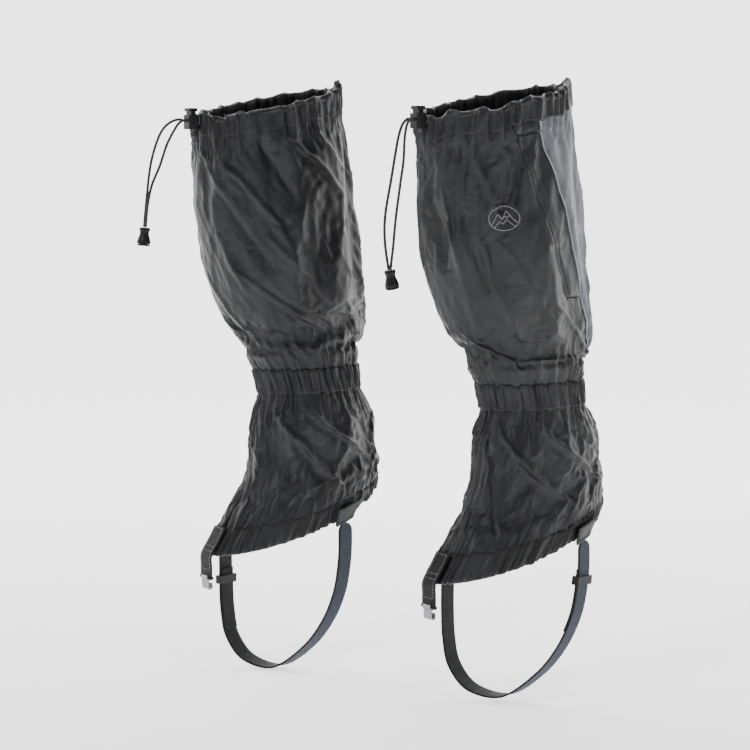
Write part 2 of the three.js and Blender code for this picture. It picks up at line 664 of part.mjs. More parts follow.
// Where the strap has a section, as distances from its outer end. The tail's two ends are among them.
function strapDistances(gaiter) {
  const length = strapCurve(gaiter).getLength();
  const roundEnd = [0.35, 1.4, 3.2, 6];
  const straight = even(STRAP_WIDTH / 2, length - STRAP_WIDTH / 2, 24);
  const tailEnds = [TAIL.start, TAIL.start + TAIL.length];
  const apart = straight.filter((distance) => tailEnds.every((end) => Math.abs(end - distance) > 2));
  const far = roundEnd.map((end) => length - end);
  return [...roundEnd, ...apart, ...tailEnds, ...far].sort((a, b) => a - b);
}

function instepStrap(gaiter) {
  const distances = strapDistances(gaiter);
  const length = strapCurve(gaiter).getLength();
  const radius = STRAP_WIDTH / 2;
  const widthAt = (distance) => {
    const fromEnd = Math.min(distance, length - distance, radius);
    return 2 * Math.sqrt(radius ** 2 - (radius - fromEnd) ** 2);
  };
  return ribbon(gaiter, distances, widthAt, STRAP_THICKNESS, 0);
}

const tailShift = (gaiter) => gaiter.side * (STRAP_THICKNESS / 2 + CLEARANCE + TAIL.thickness / 2);

function strapTail(gaiter) {
  const end = TAIL.start + TAIL.length;
  const distances = strapDistances(gaiter).filter((distance) => distance >= TAIL.start && distance <= end);
  return ribbon(gaiter, distances, () => STRAP_WIDTH - 1, TAIL.thickness, tailShift(gaiter));
}

// A flat loop that holds the strap and its tail together.
function strapSlider(gaiter) {
  const { centre, along, across, out } = strapFrame(gaiter, SLIDER.start + SLIDER.height / 2);
  const inWidth = STRAP_WIDTH + 2 * SLIDER.play;
  const inDepth = STRAP_THICKNESS + CLEARANCE + TAIL.thickness + 2 * SLIDER.play;
  const middle = (tailShift(gaiter) * (CLEARANCE + TAIL.thickness)) / (2 * Math.abs(tailShift(gaiter)));
  const around = box(inWidth + 2 * SLIDER.wall, inDepth + 2 * SLIDER.wall, SLIDER.height, 0, 0, 0);
  const frame = cut(around, box(inWidth, inDepth, SLIDER.height * 2, 0, 0, 0));
  const basis = new Matrix4().makeBasis(across, out, across.clone().cross(out));
  const place = centre.clone().addScaledVector(out, middle);
  return frame.applyMatrix4(basis).translate(place.x, place.y, place.z);
}

// ---------------------------------------------------------------- emblem

function emblem({ side }) {
  const { width, height, down, angle, thickness } = EMBLEM;
  const face = LEG_FACE - CLEARANCE - thickness;
  const half = spanAngle(down, width / 2);
  return panel(side, [down, down + height], fixed(angle - half), fixed(angle + half), face, thickness);
}

// ---------------------------------------------------------------- one gaiter, and the pair

function pieces(gaiter) {
  return [
    ["main_panel", mainPanel(gaiter), FINISH.shell],
    ["rear_panel", rearPanel(gaiter), FINISH.grey],
    ["closure_flap", closureFlap(gaiter), FINISH.shell],
    ["hook_tape", closureTape(gaiter, HOOK_TAPE_FACE), FINISH.tape],
    ["loop_tape", closureTape(gaiter, LOOP_TAPE_FACE), FINISH.tape],
    ["drawcord_casing", topCasing(gaiter), FINISH.shell],
    ["drawcord_eyelet", eyelet(gaiter), FINISH.metal],
    ["drawcord_in_casing", drawcordInCasing(gaiter), FINISH.cord],
    ["drawcord_upper_strand", strand(gaiter, gaiter.strands.upper, 1), FINISH.cord],
    ["drawcord_lower_strand", strand(gaiter, gaiter.strands.lower, -1), FINISH.cord],
    ["cord_lock_body", lockBody(gaiter), FINISH.plastic],
    ["cord_lock_plunger", lockPlunger(gaiter), FINISH.plastic],
    ["cord_lock_spring", lockSpring(gaiter), FINISH.metal],
    ["cord_end_bell", cordEndBell(gaiter), FINISH.plastic],
    ["cord_end_cap", cordEndCap(gaiter), FINISH.plastic],
    ["ankle_casing", ankleCasing(gaiter), FINISH.shell],
    ["ankle_elastic", ankleElastic(gaiter), FINISH.elastic],
    ["boot_outer_panel", bootPanel(gaiter, 0, 180), FINISH.shell],
    ["boot_inner_panel", bootPanel(gaiter, 180, 360), FINISH.shell],
    ["hem_casing", hemCasing(gaiter), FINISH.lining],
    ["hem_elastic", hemElastic(gaiter), FINISH.elastic],
    ["toe_tab", toeTab(gaiter), FINISH.webbing],
    ["lace_hook", laceHook(gaiter), FINISH.metal],
    ["outer_strap_tab", strapTab(gaiter, gaiter.strapOuter), FINISH.lining],
    ["inner_strap_tab", strapTab(gaiter, gaiter.strapInner), FINISH.lining],
    ["instep_strap", instepStrap(gaiter), FINISH.webbing],
    ["strap_tail", strapTail(gaiter), FINISH.webbing],
    ["strap_slider", strapSlider(gaiter), FINISH.plastic],
    ["emblem", emblem(gaiter), FINISH.thread],
  ];
}

function makeGaiter(gaiter) {
  const group = new Group();
  group.position.set(gaiter.place[0], gaiter.place[1], 0);
  group.rotation.z = radians(gaiter.toeOut);
  for (const [name, geometry, material] of pieces(gaiter)) {
    const mesh = new Mesh(closed(geometry), material());
    mesh.name = `${gaiter.name}_${name}`;
    group.add(mesh);
  }
  return group;
}

const gaiters = new Group();
gaiters.add(...GAITERS.map(makeGaiter));

export default gaiters;
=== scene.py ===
"""A pair of hiking gaiters: gathered fabric legs, drawcords, elastics, lace hooks and instep straps.

Everything is in metres, +Z up, toes towards -X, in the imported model's own frame.
"""

import logging
import math
from dataclasses import dataclass, field
from enum import Enum
from typing import Callable, Sequence

import bmesh
import bpy
import numpy as np
from mathutils import Matrix, Vector


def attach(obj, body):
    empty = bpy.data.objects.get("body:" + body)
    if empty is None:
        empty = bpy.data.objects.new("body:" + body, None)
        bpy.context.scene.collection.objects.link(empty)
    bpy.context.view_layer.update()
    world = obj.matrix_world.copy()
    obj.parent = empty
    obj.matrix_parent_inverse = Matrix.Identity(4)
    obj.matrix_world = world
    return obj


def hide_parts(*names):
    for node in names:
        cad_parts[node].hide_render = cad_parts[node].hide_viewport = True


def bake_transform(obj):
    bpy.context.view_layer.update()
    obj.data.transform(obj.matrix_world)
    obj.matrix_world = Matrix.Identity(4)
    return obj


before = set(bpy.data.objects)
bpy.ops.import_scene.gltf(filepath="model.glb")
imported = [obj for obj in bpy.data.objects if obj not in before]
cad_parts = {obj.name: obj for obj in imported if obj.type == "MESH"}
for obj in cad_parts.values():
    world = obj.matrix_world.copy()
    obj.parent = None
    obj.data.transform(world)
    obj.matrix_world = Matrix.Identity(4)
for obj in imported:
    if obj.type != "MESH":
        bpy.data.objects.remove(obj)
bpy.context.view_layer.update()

MM = 0.001
Values = float | np.ndarray
Edge = Callable[[np.ndarray], np.ndarray]
TURN = 2 * math.pi
LOG = logging.getLogger("gaiters")


class Side(Enum):
    """Which leg a gaiter is for, and which way round the leg its outer side lies."""

    RIGHT = "right"
    LEFT = "left"

    def node(self, name: str) -> str:
        """The full name of one of this gaiter's nodes or bodies."""
        return f"{self.value}_{name}"


def give(
    piece: bpy.types.Object, side: Side, node: str = "", body: str = "root"
) -> bpy.types.Object:
    """Gives a finished piece its body, and lets it stand for a node.

    Args:
        piece: the piece.
        side: its gaiter.
        node: the node it stands for, without its side, when there is one.
        body: the body it rides on.

    Returns:
        The piece.
    """
    if node:
        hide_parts(side.node(node))
    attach(piece, body)
    return piece


def unit(vectors: np.ndarray) -> np.ndarray:
    """The directions of vectors whose coordinates come last."""
    return vectors / np.linalg.norm(vectors, axis=-1, keepdims=True)


def distances(points: np.ndarray) -> np.ndarray:
    """How far along a line of points each of them lies."""
    return np.concatenate([[0], np.cumsum(np.linalg.norm(np.diff(points, axis=0), axis=1))])


# ---------------------------------------------------------------- finishes


class Nodes:
    """A short way to build one material's node tree."""

    def __init__(self, name: str) -> None:
        """Starts a material with only its Principled shader.

        Args:
            name: the material's name.
        """
        self.material = bpy.data.materials.new(name)
        self.material.use_nodes = True
        self.tree = self.material.node_tree
        self.shader = self.tree.nodes["Principled BSDF"]

    def add(self, kind: str, inputs: dict | None = None, **settings: object) -> bpy.types.Node:
        """Adds a node.

        Args:
            kind: the node's type without its prefix.
            inputs: values or output sockets for its inputs, by name or number.
            settings: the node's own properties.

        Returns:
            The node.
        """
        node = self.tree.nodes.new("ShaderNode" + kind)
        for key, value in settings.items():
            setattr(node, key, value)
        for key, value in (inputs or {}).items():
            if isinstance(value, bpy.types.NodeSocket):
                self.tree.links.new(value, node.inputs[key])
            else:
                node.inputs[key].default_value = value
        return node

    def set(self, **values: object) -> None:
        """Sets or links the shader's own sockets, with _ for a space in their names."""
        for key, value in values.items():
            socket = self.shader.inputs[key.replace("_", " ")]
            if isinstance(value, bpy.types.NodeSocket):
                self.tree.links.new(value, socket)
            else:
                socket.default_value = value

    def ramp(self, value: bpy.types.NodeSocket, stops: Sequence[tuple[float, tuple]]) -> bpy.types.NodeSocket:
        """Maps a value to colours.

        Args:
            value: the value to map.
            stops: each stop's place and its colour or grey level.

        Returns:
            The ramp's colour.
        """
        node = self.add("ValToRGB", {"Fac": value})
        ramp = node.color_ramp
        while len(ramp.elements) < len(stops):
            ramp.elements.new(0.5)
        for element, (place, colour) in zip(ramp.elements, stops):
            element.position = place
            element.color = (*colour, 1) if isinstance(colour, tuple) else (colour, colour, colour, 1)
        return node.outputs["Color"]

    def noise(self, place: bpy.types.NodeSocket, scale: float, detail: float) -> bpy.types.NodeSocket:
        """The value of a noise at a place."""
        return self.add("TexNoise", {"Vector": place, "Scale": scale, "Detail": detail}).outputs["Fac"]

    def bump(self, strength: float, depth: float, height: bpy.types.NodeSocket, **inputs: object) -> object:
        """A bump of a height, in metres, with any normal that it adds to."""
        values = {"Strength": strength, "Distance": depth, "Height": height, **inputs}
        return self.add("Bump", values).outputs[0]

    def maths(self, operation: str, *values: object) -> bpy.types.NodeSocket:
        """One step of arithmetic on values or sockets."""
        return self.add("Math", dict(enumerate(values)), operation=operation).outputs[0]


@dataclass(frozen=True)
class WovenFinish:
    """Coated nylon: a fine weave, small creases, a satin sheen and worn, dusty variation.

    Its pattern follows the piece's own UV map, which is in metres on the cloth.
    """

    name: str
    dark: tuple[float, float, float]
    light: tuple[float, float, float]
    roughness: float = 0.45
    sheen: float = 0.25
    thread: float = 0.5 * MM
    weave_depth: float = 0.05 * MM
    crease_depth: float = 0.5 * MM
    speckle: float = 0.0
    shine: float = 0.3

    def build(self) -> bpy.types.Material:
        """Makes the material.

        Returns:
            The finished material.
        """
        nodes = Nodes(self.name)
        place = nodes.add("TexCoord").outputs["UV"]
        solid = nodes.add("TexCoord").outputs["Object"]
        wave = {"Scale": 1 / (self.thread * TURN) * math.pi, "Distortion": 0.0}
        warp = nodes.add("TexWave", {"Vector": place, **wave}, bands_direction="X").outputs["Fac"]
        weft = nodes.add("TexWave", {"Vector": place, **wave}, bands_direction="Y").outputs["Fac"]
        weave = nodes.maths("MAXIMUM", warp, weft)
        cloud = nodes.noise(solid, 26.0, 5.0)
        fine = nodes.noise(solid, 420.0, 3.0)
        crinkle = nodes.add(
            "TexNoise", {"Vector": solid, "Scale": 150.0, "Detail": 6.0, "Roughness": 0.62, "Distortion": 0.6}
        ).outputs["Fac"]
        mottled = nodes.maths("MULTIPLY_ADD", fine, self.speckle, cloud)
        colour = nodes.ramp(mottled, [(0.32, self.dark), (0.68 + self.speckle, self.light)])
        rough = nodes.ramp(crinkle, [(0.3, self.roughness - 0.08), (0.7, self.roughness + 0.1)])
        creases = nodes.bump(0.55, self.crease_depth, crinkle)
        woven = nodes.bump(0.6, self.weave_depth, weave, Normal=creases)
        nodes.set(Base_Color=colour, Roughness=rough, Normal=woven)
        nodes.set(Sheen_Weight=self.sheen, Sheen_Roughness=0.35, Specular_IOR_Level=self.shine)
        return nodes.material


@dataclass(frozen=True)
class WebbingFinish:
    """Ribbed narrow webbing, with its ribs across and its cords along the UV map's first axis, and painted
    sheen on its inner face.
    """

    name: str
    outer: tuple[float, float, float]
    inner: tuple[float, float, float]
    rib: float = 1.1 * MM
    roughness: float = 0.62

    def build(self) -> bpy.types.Material:
        """Makes the material.

        Returns:
            The finished material.
        """
        nodes = Nodes(self.name)
        place = nodes.add("TexCoord").outputs["UV"]
        solid = nodes.add("TexCoord").outputs["Object"]
        scale = 1 / (self.rib * TURN) * math.pi
        ribs = nodes.add("TexWave", {"Vector": place, "Scale": scale}, bands_direction="X").outputs["Fac"]
        cords = nodes.add(
            "TexWave", {"Vector": place, "Scale": scale * 0.8}, bands_direction="Y"
        ).outputs["Fac"]
        # The inner colour is painted sheen: the inner face is drawn lighter and bluish for its dark-blue
        # sheen.
        face = nodes.add("Attribute", attribute_name="inner_face_painted_sheen").outputs["Fac"]
        noise = nodes.noise(solid, 300.0, 4.0)
        tone = nodes.maths("ADD", face, nodes.maths("MULTIPLY_ADD", noise, 0.3, -0.15))
        colour = nodes.ramp(tone, [(0.1, self.outer), (0.9, self.inner)])
        height = nodes.maths("ADD", ribs, nodes.maths("MULTIPLY", cords, 0.5))
        bump = nodes.bump(0.7, 0.25 * MM, height)
        rough = nodes.ramp(noise, [(0.3, self.roughness - 0.07), (0.7, self.roughness + 0.1)])
        nodes.set(Base_Color=colour, Roughness=rough, Normal=bump)
        nodes.set(Sheen_Weight=0.03, Specular_IOR_Level=0.2)
        return nodes.material


@dataclass(frozen=True)
class BraidFinish:
    """A round braided cord: two sets of strands crossing on the UV map, with painted shade in the grooves
    between them.
    """

    name: str
    colour: tuple[float, float, float]
    strand: float = 0.9 * MM

    def build(self) -> bpy.types.Material:
        """Makes the material.

        Returns:
            The finished material.
        """
        nodes = Nodes(self.name)
        place = nodes.add("TexCoord").outputs["UV"]
        scale = 1 / (self.strand * TURN) * math.pi
        sets = []
        for turn in (math.radians(40), math.radians(-40)):
            turned = nodes.add("Mapping", {"Vector": place, "Rotation": (0, 0, turn)}).outputs[0]
            sets.append(nodes.add("TexWave", {"Vector": turned, "Scale": scale}).outputs["Fac"])
        braid = nodes.maths("MAXIMUM", *sets)
        # Painted shade: the grooves between the strands are darkened to 45 percent of the colour.
        dark = tuple(0.45 * c for c in self.colour)
        colour = nodes.ramp(braid, [(0.35, dark), (0.9, self.colour)])
        bump = nodes.bump(0.9, 0.3 * MM, braid)
        rough = nodes.ramp(braid, [(0.2, 0.8), (0.9, 0.55)])
        nodes.set(Base_Color=colour, Normal=bump, Roughness=rough, Sheen_Weight=0.05)
        return nodes.material


@dataclass(frozen=True)
class HardFinish:
    """Moulded plastic or plated metal, with fine grain and soft wear."""

    name: str
    colour: tuple[float, float, float]
    roughness: float
    metallic: float = 0.0
    grain: float = 900.0
    shine: float = 0.5

    def build(self) -> bpy.types.Material:
        """Makes the material.

        Returns:
            The finished material.
        """
        nodes = Nodes(self.name)
        solid = nodes.add("TexCoord").outputs["Object"]
        grain = nodes.noise(solid, self.grain, 4.0)
        wear = nodes.noise(solid, 90.0, 5.0)
        worn = tuple(min(1.0, c * 1.35 + 0.004) for c in self.colour)
        colour = nodes.ramp(wear, [(0.4, self.colour), (0.75, worn)])
        rough = nodes.ramp(wear, [(0.3, self.roughness * 0.8), (0.7, min(1.0, self.roughness * 1.3))])
        nodes.set(Base_Color=colour, Roughness=rough, Normal=nodes.bump(0.25, 0.05 * MM, grain))
        nodes.set(Metallic=self.metallic, Specular_IOR_Level=self.shine)
        return nodes.material


class Finishes:
    """Every finish of the pair, each made once."""

    def __init__(self) -> None:
        """Builds the materials."""
        black = (0.0065, 0.0067, 0.0078)
        self.shell = WovenFinish("shell_nylon", black, (0.014, 0.0145, 0.0165), 0.36, 0.06).build()
        # The rear panel's light grey is painted sheen: it stands for the satin sheen of black nylon seen at a
        # grazing angle.
        self.grey = WovenFinish(
            "nylon_painted_sheen_grey", (0.045, 0.046, 0.053), (0.155, 0.16, 0.178), 0.5, 0.12, speckle=0.5
        ).build()
        self.binding = WovenFinish(
            "binding", (0.006, 0.006, 0.007), (0.013, 0.0135, 0.015), 0.45, 0.05
        ).build()
        self.pile = WovenFinish(
            "hook_and_loop", (0.006, 0.006, 0.006), (0.02, 0.02, 0.021), 0.9, 0.6, 0.9 * MM, 0.4 * MM
        ).build()
        self.elastic = WebbingFinish("elastic", (0.012, 0.012, 0.013), (0.03, 0.03, 0.03), 0.8 * MM).build()
        # The second, bluish colour is painted sheen on the webbing's inner face.
        self.webbing = WebbingFinish("webbing", (0.0055, 0.0057, 0.0065), (0.026, 0.033, 0.050)).build()
        self.cord = BraidFinish("drawcord", (0.014, 0.014, 0.016)).build()
        self.plastic = HardFinish("black_plastic", (0.004, 0.004, 0.0045), 0.38, shine=0.22).build()
        self.steel = HardFinish("plated_steel", (0.20, 0.205, 0.215), 0.3, 1.0).build()
        self.thread = BraidFinish("black_thread", (0.022, 0.022, 0.026), 0.4 * MM).build()
        self.pale = BraidFinish("pale_thread", (0.5, 0.5, 0.53), 0.4 * MM).build()
        # Pale grey for the piping: a painted highlight along the flap's folded edge.
        self.piping = BraidFinish("pale_piping_painted_highlight", (0.42, 0.43, 0.46), 0.5 * MM).build()


# ---------------------------------------------------------------- the leg's surface


@dataclass(frozen=True)
class LegRow:
    """The leg's outline at one distance down from the rim, in millimetres."""

    down: float
    front: float
    front_z: float
    rear: float
    rear_z: float
    half: float
    belly: float


@dataclass(frozen=True)
class LegShape:
    """The gaiter's whole outline, and where its seams and bands lie (millimetres and degrees)."""

    rows: tuple[LegRow, ...] = (
        LegRow(0, -120, 254, 28, 282, 54, 0),
        LegRow(22, -122, 232, 31, 259, 56, 0),
        LegRow(70, -119, 186, 40, 204, 58, 0),
        LegRow(118, -112, 140, 49, 150, 60, 0),
        LegRow(166, -99, 96, 57, 103, 57, 0),
        LegRow(212, -80, 54, 59, 60, 50, 0),
        LegRow(240, -68, 28, 55, 32, 44, 0),
        LegRow(260, -56, 10, 51, 12, 38, 0),
        LegRow(278, -52, -8, 54, -6, 38, 0),
        LegRow(302, -63, -32, 68, -28, 43, 0),
        LegRow(338, -71, -70, 76, -58, 46, 1),
        LegRow(378, -88, -118, 78, -86, 47, 4),
        LegRow(414, -112, -160, 72, -108, 44, 7),
    )
    seam: tuple[tuple[float, float], ...] = ((0, 90), (100, 112), (180, 128), (268, 158))
    rear_edge: float = 195
    flap_angle: float = 20
    flap_rows: tuple[float, float] = (28, 172)
    casing_depth: float = 20
    ankle: float = 268
    ankle_height: float = 24
    hem: float = 414
    hem_height: float = 22

    def seam_angle(self, down: np.ndarray) -> np.ndarray:
        """The rear panel's seam, as degrees round from the toe, at distances from the rim."""
        places, angles = zip(*self.seam)
        return np.interp(down, places, angles)


SHAPE = LegShape()


def smooth_table(places: Sequence[float], values: np.ndarray, at: np.ndarray) -> np.ndarray:
    """Reads rows of values as a smooth curve that passes through each of them.

    Args:
        places: where each row lies, rising.
        values: one row for each place.
        at: the places to read.

    Returns:
        One row for each place read.
    """
    places = np.asarray(places, float)
    slopes = np.gradient(values, places, axis=0)
    at = np.clip(at, places[0], places[-1])
    low = np.clip(np.searchsorted(places, at, side="right") - 1, 0, len(places) - 2)
    span = (places[low + 1] - places[low])[..., None]
    t = ((at - places[low])[..., None]) / span
    a, b = values[low], values[low + 1]
    return (
        (2 * t**3 - 3 * t**2 + 1) * a
        + (t**3 - 2 * t**2 + t) * span * slopes[low]
        + (3 * t**2 - 2 * t**3) * b
        + (t**3 - t**2) * span * slopes[low + 1]
    )


@dataclass
class Placement:
    """Where one gaiter stands and which way it points."""

    side: Side
    centre: tuple[float, float]
    toe_out: float = 35

    def world(self, x: Values, y: Values, z: Values) -> np.ndarray:
        """Takes millimetres in the gaiter's own frame to metres in the world.

        Args:
            x: forwards of the ankle when negative.
            y: across, outwards on the right leg when positive.
            z: up.

        Returns:
            The points, with their coordinates last.
        """
        cos, sin = math.cos(math.radians(self.toe_out)), math.sin(math.radians(self.toe_out))
        east = self.centre[0] + x * cos - y * sin
        north = self.centre[1] + x * sin + y * cos
        return np.stack(np.broadcast_arrays(east, north, z), axis=-1) * MM

    @property
    def sign(self) -> int:
        """+1 where the outer side is towards the gaiter's own +Y, and -1 where it is towards -Y."""
        return 1 if self.side is Side.RIGHT else -1

    def leg(self, down: np.ndarray, angle: np.ndarray, depth: float | np.ndarray = 0.0) -> np.ndarray:
        """Points on the smooth leg.

        Args:
            down: millimetres from the rim.
            angle: degrees from the toe round the outer side.
            depth: millimetres inwards from the middle of the fabric.

        Returns:
            The points in the world, with their coordinates last.
        """
        down, angle = np.broadcast_arrays(np.asarray(down, float), np.asarray(angle, float))
        table = np.array([[r.front, r.front_z, r.rear, r.rear_z, r.half, r.belly] for r in SHAPE.rows])
        places = [row.down for row in SHAPE.rows]
        front, front_z, rear, rear_z, half, belly = np.moveaxis(smooth_table(places, table, down), -1, 0)
        turn = np.radians(angle)
        x = (front + rear) / 2 - np.cos(turn) * ((rear - front) / 2 - depth)
        y = self.sign * np.sin(turn) * (half - depth)
        level = front_z + (rear_z - front_z) * (1 - np.cos(turn)) / 2
        level = level - belly * np.sin(turn) ** 2 - np.maximum(0, down - SHAPE.hem) + np.maximum(0, -down)
        return self.world(x, y, level)


@dataclass(frozen=True)
class Fold:
    """A long ridge or valley in the cloth, between points given as (down, angle)."""

    points: tuple[tuple[float, float], ...]
    height: float
    width: float = 9.0


FOLDS: dict[Side, tuple[Fold, ...]] = {
    Side.LEFT: (
        Fold(((24, 40), (62, 52), (96, 60)), 4.5, 8),
        Fold(((18, 30), (60, 34), (104, 40)), -5.0, 11),
        Fold(((30, 4), (90, 8), (140, 14)), -5.5, 12),
        Fold(((60, 16), (120, 24), (178, 30)), 5.0, 9),
        Fold(((66, 28), (116, 38), (160, 46)), -3.5, 10),
        Fold(((90, 44), (150, 48), (214, 62)), 5.0, 7),
        Fold(((110, 58), (160, 74), (212, 96)), 4.0, 11),
        Fold(((36, 78), (74, 68), (110, 60)), -3.5, 10),
        Fold(((120, 98), (170, 108), (232, 122)), -4.0, 10),
        Fold(((190, 6), (214, 26), (236, 52)), 4.5, 8),
        Fold(((176, 92), (204, 116), (226, 138)), 4.0, 8),
        Fold(((20, 150), (80, 160), (150, 168)), 4.0, 11),
        Fold(((40, 220), (110, 240), (180, 250)), 5.0, 12),
        Fold(((30, 280), (90, 262), (170, 285)), -5.0, 12),
        Fold(((60, 320), (130, 312), (200, 330)), 4.5, 11),
        Fold(((286, 20), (330, 60), (372, 104)), 4.5, 9),
        Fold(((284, 60), (322, 96), (360, 140)), 4.0, 8),
        Fold(((290, 10), (340, 26), (386, 46)), -4.0, 9),
        Fold(((288, 100), (320, 128), (350, 152)), -3.5, 8),
        Fold(((290, 200), (330, 240), (380, 280)), 4.0, 10),
        Fold(((286, 300), (330, 320), (380, 345)), -4.0, 10),
    ),
    Side.RIGHT: (
        Fold(((20, 304), (50, 292), (92, 276)), -5.5, 10),
        Fold(((24, 288), (52, 262), (88, 236)), 5.0, 9),
        Fold(((26, 262), (46, 246), (66, 230)), 4.5, 9),
        Fold(((26, 356), (54, 342), (80, 328)), 4.5, 9),
        Fold(((40, 338), (60, 318), (104, 294), (150, 282)), 4.5, 8),
        Fold(((70, 336), (110, 318), (150, 300)), -4.5, 11),
        Fold(((108, 342), (140, 334), (172, 326)), 5.5, 9),
        Fold(((112, 304), (150, 282), (190, 258)), 4.5, 9),
        Fold(((140, 336), (180, 302), (218, 270)), 4.0, 9),
        Fold(((160, 316), (196, 284), (226, 252)), -4.0, 9),
        Fold(((88, 240), (140, 228), (196, 222)), -4.0, 11),
        Fold(((20, 200), (80, 206), (160, 214)), 4.0, 11),
        Fold(((40, 150), (110, 160), (190, 150)), -4.5, 12),
        Fold(((30, 60), (100, 76), (180, 70)), 4.5, 12),
        Fold(((60, 110), (130, 98), (210, 120)), 4.5, 11),
        Fold(((286, 340), (326, 300), (372, 262)), 4.5, 9),
        Fold(((284, 306), (320, 268), (356, 228)), 4.0, 8),
        Fold(((290, 350), (336, 332), (384, 316)), -4.0, 9),
        Fold(((286, 262), (316, 236), (350, 212)), -3.5, 8),
        Fold(((290, 40), (330, 80), (380, 120)), 4.0, 10),
    ),
}


@dataclass
class Skin:
    """One gaiter's cloth: a fine tube that every fabric piece is laid on.

    It starts as the smooth leg with its folds, and a cloth simulation then lets it buckle and
    settle between the drawcord, the ankle elastic and the hem, which hold it.
    """

    place: Placement
    seed: int
    columns: int = 176
    step: float = 2.9
    slack: float = 0.045
    frames: int = 26
    most: float = 8.5

    def __post_init__(self) -> None:
        """Lays the folds and lets the cloth settle."""
        self.count = int(SHAPE.hem / self.step) + 1
        self.downs = np.linspace(0, SHAPE.hem, self.count)
        self.angles = np.arange(self.columns) * 360 / self.columns
        down, angle = np.meshgrid(self.downs, self.angles, indexing="ij")
        self.smooth = self.place.leg(down, angle)
        out = self.facing(self.smooth)
        free = self.freedom(self.downs)[:, None]
        lifted = self.smooth + out * (self.folds(down, angle) * free)[..., None] * MM
        lifted = self.settle(lifted)
        shift = (lifted - self.smooth) / MM
        size = np.linalg.norm(shift, axis=-1, keepdims=True)
        shift *= np.tanh(size / self.most) * self.most / np.maximum(size, 1e-6)
        self.points = self.smooth + shift * MM
        self.normals = self.facing(self.points)

    def facing(self, points: np.ndarray) -> np.ndarray:
        """The outward directions of a cloth at its points."""
        around = np.roll(points, -1, 1) - np.roll(points, 1, 1)
        return unit(np.cross(around, np.gradient(points, axis=0)) * self.place.sign)

    def freedom(self, down: np.ndarray) -> np.ndarray:
        """How freely the cloth moves at distances from the rim: 0 where a band holds it, up to 1."""
        held = [SHAPE.casing_depth / 2, SHAPE.ankle, SHAPE.hem - SHAPE.hem_height / 2]
        reach = [9.0, SHAPE.ankle_height / 2 - 1, SHAPE.hem_height / 2 - 1]
        free = np.ones_like(down)
        for centre, half in zip(held, reach):
            away = np.clip((np.abs(down - centre) - half) / 22, 0, 1)
            free = np.minimum(free, away * away * (3 - 2 * away))
        return free

    def folds(self, down: np.ndarray, angle: np.ndarray) -> np.ndarray:
        """The height of every long fold and crumple, in millimetres."""
        height = np.zeros_like(down)
        around = 1.25
        for fold in FOLDS[self.place.side]:
            points = np.array(fold.points, float)
            near = np.full(down.shape, 1e9)
            share = np.zeros(down.shape)
            for k in range(len(points) - 1):
                (d0, a0), (d1, a1) = points[k], points[k + 1]
                dx, dy = d1 - d0, (a1 - a0) * around
                px = down - d0
                py = ((angle - a0 + 180) % 360 - 180) * around
                t = np.clip((px * dx + py * dy) / (dx * dx + dy * dy), 0, 1)
                gap = np.hypot(px - t * dx, py - t * dy)
                nearer = gap < near
                near = np.where(nearer, gap, near)
                share = np.where(nearer, (k + t) / (len(points) - 1), share)
            taper = np.clip(4 * share * (1 - share), 0, 1) ** 0.6
            height += fold.height * taper / (1 + (near / (fold.width * 0.55)) ** 2) ** 1.5
        rng = np.random.default_rng(self.seed)
        turn = np.radians(angle)
        for _ in range(26):
            waves = rng.integers(2, 9)
            slant = rng.uniform(-0.025, 0.045)
            wave = np.sin(waves * turn + slant * down + rng.uniform(0, TURN))
            patch = np.exp(-(((down - rng.uniform(30, 390)) / rng.uniform(25, 70)) ** 2))
            height += rng.uniform(0.5, 1.3) * (1 - 2 * np.abs(wave) ** 0.7) * patch
        return height

    def settle(self, points: np.ndarray) -> np.ndarray:
        """Lets the cloth buckle and settle by simulation.

        Args:
            points: the cloth's starting points, as rows by columns.

        Returns:
            The settled points.
        """
        bm = bmesh.new()
        grid = bmesh.ops.create_grid(bm, x_segments=self.columns, y_segments=self.count - 1, size=1)
        verts = sorted(grid["verts"], key=lambda v: (round(v.co.y, 5), round(v.co.x, 5)))
        rows = [verts[k * (self.columns + 1):(k + 1) * (self.columns + 1)] for k in range(self.count)]
        for j, row in enumerate(rows):
            for i, vert in enumerate(row):
                vert.co = points[j, i % self.columns]
        bmesh.ops.weld_verts(bm, targetmap={row[-1]: row[0] for row in rows})
        bm.verts.index_update()
        index = np.array([[v.index for v in row[:-1]] for row in rows])
        mesh = bpy.data.meshes.new("skin")
        bm.to_mesh(mesh)
        bm.free()
        cloth = bpy.data.objects.new("skin", mesh)
        bpy.context.scene.collection.objects.link(cloth)
        held = cloth.vertex_groups.new(name="held")
        for j, down in enumerate(self.downs):
            weight = 1 - float(self.freedom(np.array([down]))[0])
            if weight > 0.02:
                held.add([int(k) for k in index[j]], weight if weight < 0.98 else 1.0, "REPLACE")
        modifier = cloth.modifiers.new("cloth", "CLOTH")
        settings = modifier.settings
        settings.quality = 6
        settings.mass = 0.12
        settings.air_damping = 4
        settings.tension_stiffness = settings.compression_stiffness = 18
        settings.shear_stiffness = 9
        settings.bending_stiffness = 0.6
        settings.vertex_group_mass = "held"
        settings.shrink_min = -self.slack
        settings.effector_weights.gravity = 0.05
        modifier.collision_settings.use_collision = False
        modifier.collision_settings.use_self_collision = False
        modifier.point_cache.frame_start, modifier.point_cache.frame_end = 1, self.frames
        scene = bpy.context.scene
        for number in range(1, self.frames + 1):
            scene.frame_set(number)
        shape = cloth.evaluated_get(bpy.context.evaluated_depsgraph_get())
        flat = np.empty(len(mesh.vertices) * 3)
        shape.data.vertices.foreach_get("co", flat)
        settled = flat.reshape(-1, 3)[index]
        bpy.data.objects.remove(cloth)
        bpy.data.meshes.remove(mesh)
        scene.frame_set(1)
        return settled

